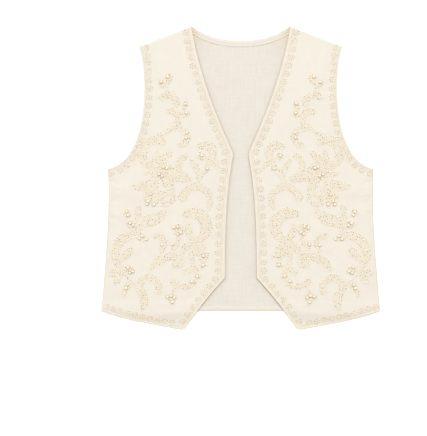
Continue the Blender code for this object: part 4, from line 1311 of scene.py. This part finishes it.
class WAISTCOAT_OT_stitching(bpy.types.Operator):
    """Adds the rows of small stitches along the edges, the neck band and the hem"""
    bl_idname = "waistcoat.stitching"
    bl_label = "Stitching"

    def execute(self, context):
        seed, fine = seed_stitch(*SEED_STITCH), seed_stitch(*FINE_STITCH)
        for side, mirror, rng in both_fronts(31):
            rows = [evenly(run_at((name,), inset), SEED_STEP)[1:-1] for name, inset in SEED_ROWS]
            stitches("seed_rows_", side, mirror, np.concatenate(rows),
                     np.concatenate([bearings(row) for row in rows]), seed, rng,
                     depth=(0.4, 1.0), wobble=0.5, shade=0.75)
            row = evenly(run_at(BOUND_RUN, EDGE_ROW_INSET), EDGE_ROW_STEP)
            stitches("edge_stitching_", side, mirror, row, bearings(row), fine, rng,
                     wobble=0.03, stray=0.05, sink=-EDGE_ROW_RISE)
        line = moved_in(whole_neck(), BAND_ROW * NECK_BAND_WIDTH - BAND_OVERHANG)
        self.row("neck_band_stitching", line[np.abs(line[:, 0]) < BAND_ROW_REACH], BAND_ROW_STEP,
                 BACK_THICK + SEAM_GAP + 0.5 * NECK_BAND_THICK, seed_stitch(*LONG_STITCH),
                 (0.0, 0.3))
        for name, share in HEM_ROWS:
            self.row(name, level_line(HEM_ROW_REACH, BACK_HEM_Y + share * HEM_WIDTH, 2),
                     HEM_ROW_STEP, BACK_THICK + HEM_FOLD, fine, (0.8, 2.0))
        return {"FINISHED"}

    @staticmethod
    def row(name, line, step, height, kind, depth):
        """Stitches end to end along one line, all at one height."""
        even = evenly(line, step)
        sewn(name, kind, even, bearings(even), np.full(len(even), height),
             np.random.default_rng(41), ROW_SCALES, depth)


PEARL_STRAY = 0.25
PEARL_SCALES = (0.92, 1.08)
SEAT_TUBE = 0.6  # radius of the thread in a pearl's seat
# the seats' tones, one for each pearl; the low ones reach towards the pits' painted shade
SEAT_TONES = (0.3, 0.9)
SEAT_RISE = 0.35  # of the stitching under a pearl, over the cloth
SEAT_LIFT = 0.15  # of the seat over that stitching
PEARL_RISE = 0.25  # of a pearl's middle over it, as a share of the pearl's radius


def ball(around, levels):
    """A unit ball: (sin t cos a, sin t sin a, cos t), in rings between two poles."""
    tilt = np.linspace(0.0, math.pi, levels + 1)[1:-1, None, None]
    rings = np.concatenate([np.sin(tilt) * on_circle(full_turn(around)),
                            np.repeat(np.cos(tilt), around, axis=1)], axis=2)
    return sweep_mesh(rings, [[0, 0, 1], [0, 0, -1]])


def ring_shape(radius, tube, around, sides):
    """A torus: a circle of radius tube carried round a circle of radius radius, at
    (r cos a, r sin a, tube sin b) with r = radius + tube cos b."""
    a, b = full_turn(around)[:, None], full_turn(sides)[None]
    out = radius + tube * np.cos(b)
    points = np.stack([out * np.cos(a), out * np.sin(a),
                       np.repeat(tube * np.sin(b), around, axis=0)], axis=2)
    index = np.arange(around * sides).reshape(around, sides)
    on = np.roll(index, -1, axis=0)
    quads = np.stack([index, on, np.roll(on, -1, axis=1), np.roll(index, -1, axis=1)], axis=2)
    return points.reshape(-1, 3), [quads.reshape(-1, 4)]


class WAISTCOAT_OT_pearls(bpy.types.Operator):
    """Adds the pearls, each on a ring of darker thread whose brown also paints the shade under the
    pearl
    """
    bl_idname = "waistcoat.pearls"
    bl_label = "Pearls"

    def execute(self, context):
        radius = context.scene.waistcoat_sizes.pearl / MM
        shape, faces = ball(12, 8)
        seat, seat_faces = ring_shape(radius, SEAT_TUBE, 12, 5)
        places = np.array(PEARLS, float)
        for side, mirror, rng in both_fronts(51):
            spots = places + rng.normal(0.0, PEARL_STRAY, places.shape)
            scales = radius * rng.uniform(*PEARL_SCALES, len(spots))
            ground = Surface(side).top(spots) + SEAT_RISE
            points, many = joined(shape, faces, spots, rng.uniform(0, 6.28, len(spots)),
                                  ground + PEARL_RISE * scales, scales)
            add_piece("pearls_" + side, points, many, material("pearl_lustre"), mirror)
            # the seat's brown stands partly for thread and partly for painted shade under the
            # pearl
            points, many = joined(seat, seat_faces, spots, np.zeros(len(spots)),
                                  ground + SEAT_LIFT, scales / radius)
            add_piece("pearl_seats_and_shade_" + side, points, many, material("seat_and_shade_thread"),
                      mirror, tone=np.repeat(rng.uniform(*SEAT_TONES, len(spots)), len(seat)))
        return {"FINISHED"}


# ================================ stage ================================

PIXEL = 1.742  # millimetres of the garment's plane across each of the view's columns
COLUMNS = 427
CENTRE = (-47.4, -70.0)  # the point of that plane in the middle of the view
LENS = 85.0
SENSOR = 36.0
FLOOR_SIZE = 8.0  # metres from the middle to each side
FLOOR_DROP = 0.0006  # and down from under the garment
# lamps: name, place in metres, width, share of the key light's power
LAMPS = (("key", (1.0, 6.6, 9.8), 4.4, 1.0), ("side", (-7.2, 4.8, 8.8), 7.2, 0.3),
         ("low", (0.5, -7.8, 7.5), 6.0, 0.2))


class WAISTCOAT_OT_stage(bpy.types.Operator):
    """Adds the floor, the studio light and the camera above the garment"""
    bl_idname = "waistcoat.stage"
    bl_label = "Stage"

    def execute(self, context):
        scene, light = context.scene, context.scene.waistcoat_light
        floor = bpy.data.meshes.new("floor")
        floor.from_pydata([(x * FLOOR_SIZE, y * FLOOR_SIZE, -FLOOR_DROP)
                           for x, y in ((-1, -1), (1, -1), (1, 1), (-1, 1))], [], [(0, 1, 2, 3)])
        floor.materials.append(Nodes("floor_white").finish(
            Base_Color=(0.98, 0.98, 0.98, 1.0), Roughness=0.9, Specular_IOR_Level=0.1))
        ground = bpy.data.objects.new("floor", floor)
        scene.collection.objects.link(ground)

        world = bpy.data.worlds.new("studio")
        world.use_nodes = True
        back = world.node_tree.nodes["Background"]
        back.inputs[0].default_value = linear(c * 255.0 for c in light.fill_colour)
        back.inputs[1].default_value = light.fill
        scene.world = world

        for name, place, width, share in LAMPS:
            lamp = bpy.data.lights.new(name, "AREA")
            lamp.size, lamp.energy = width, light.key * share
            lamp.color = linear(c * 255.0 for c in light.key_colour)[:3]
            obj = bpy.data.objects.new(name, lamp)
            obj.location = place
            x, y, z = place
            obj.rotation_euler = (math.atan2(math.hypot(x, y), z), 0.0, math.atan2(x, -y))
            scene.collection.objects.link(obj)

        scene.view_settings.view_transform = "Standard"
        camera = bpy.data.cameras.new("camera")
        camera.lens, camera.sensor_fit, camera.sensor_width = LENS, "HORIZONTAL", SENSOR
        camera.clip_end = 50.0
        eye = bpy.data.objects.new("camera", camera)
        eye.location = (CENTRE[0] * MM, CENTRE[1] * MM, LENS / SENSOR * COLUMNS * PIXEL * MM)
        scene.collection.objects.link(eye)
        scene.camera = eye
        return {"FINISHED"}


# ================================ add-on ================================

OPERATORS = (WAISTCOAT_OT_back, WAISTCOAT_OT_fronts, WAISTCOAT_OT_bindings, WAISTCOAT_OT_bands,
             WAISTCOAT_OT_embroidery, WAISTCOAT_OT_rosettes, WAISTCOAT_OT_stitching,
             WAISTCOAT_OT_pearls, WAISTCOAT_OT_stage)


class WAISTCOAT_PT_panel(bpy.types.Panel):
    """Lists the pieces and their settings"""
    bl_label = "Waistcoat"
    bl_idname = "WAISTCOAT_PT_panel"
    bl_space_type = "VIEW_3D"
    bl_region_type = "UI"
    bl_category = "Waistcoat"

    def draw(self, context):
        for name, group in SETTINGS:
            box = self.layout.box()
            for key in group.__annotations__:
                box.prop(getattr(context.scene, name), key)
        for operator in OPERATORS:
            self.layout.operator(operator.bl_idname)


def register():
    for name, group in SETTINGS:
        bpy.utils.register_class(group)
        setattr(bpy.types.Scene, name, bpy.props.PointerProperty(type=group))
    for cls in (*OPERATORS, WAISTCOAT_PT_panel):
        bpy.utils.register_class(cls)


def unregister():
    for cls in (WAISTCOAT_PT_panel, *reversed(OPERATORS)):
        bpy.utils.unregister_class(cls)
    for name, group in reversed(SETTINGS):
        delattr(bpy.types.Scene, name)
        bpy.utils.unregister_class(group)


def main():
    register()
    for operator in OPERATORS:
        group, name = operator.bl_idname.split(".")
        getattr(getattr(bpy.ops, group), name)()


if __name__ == "__main__":
    main()
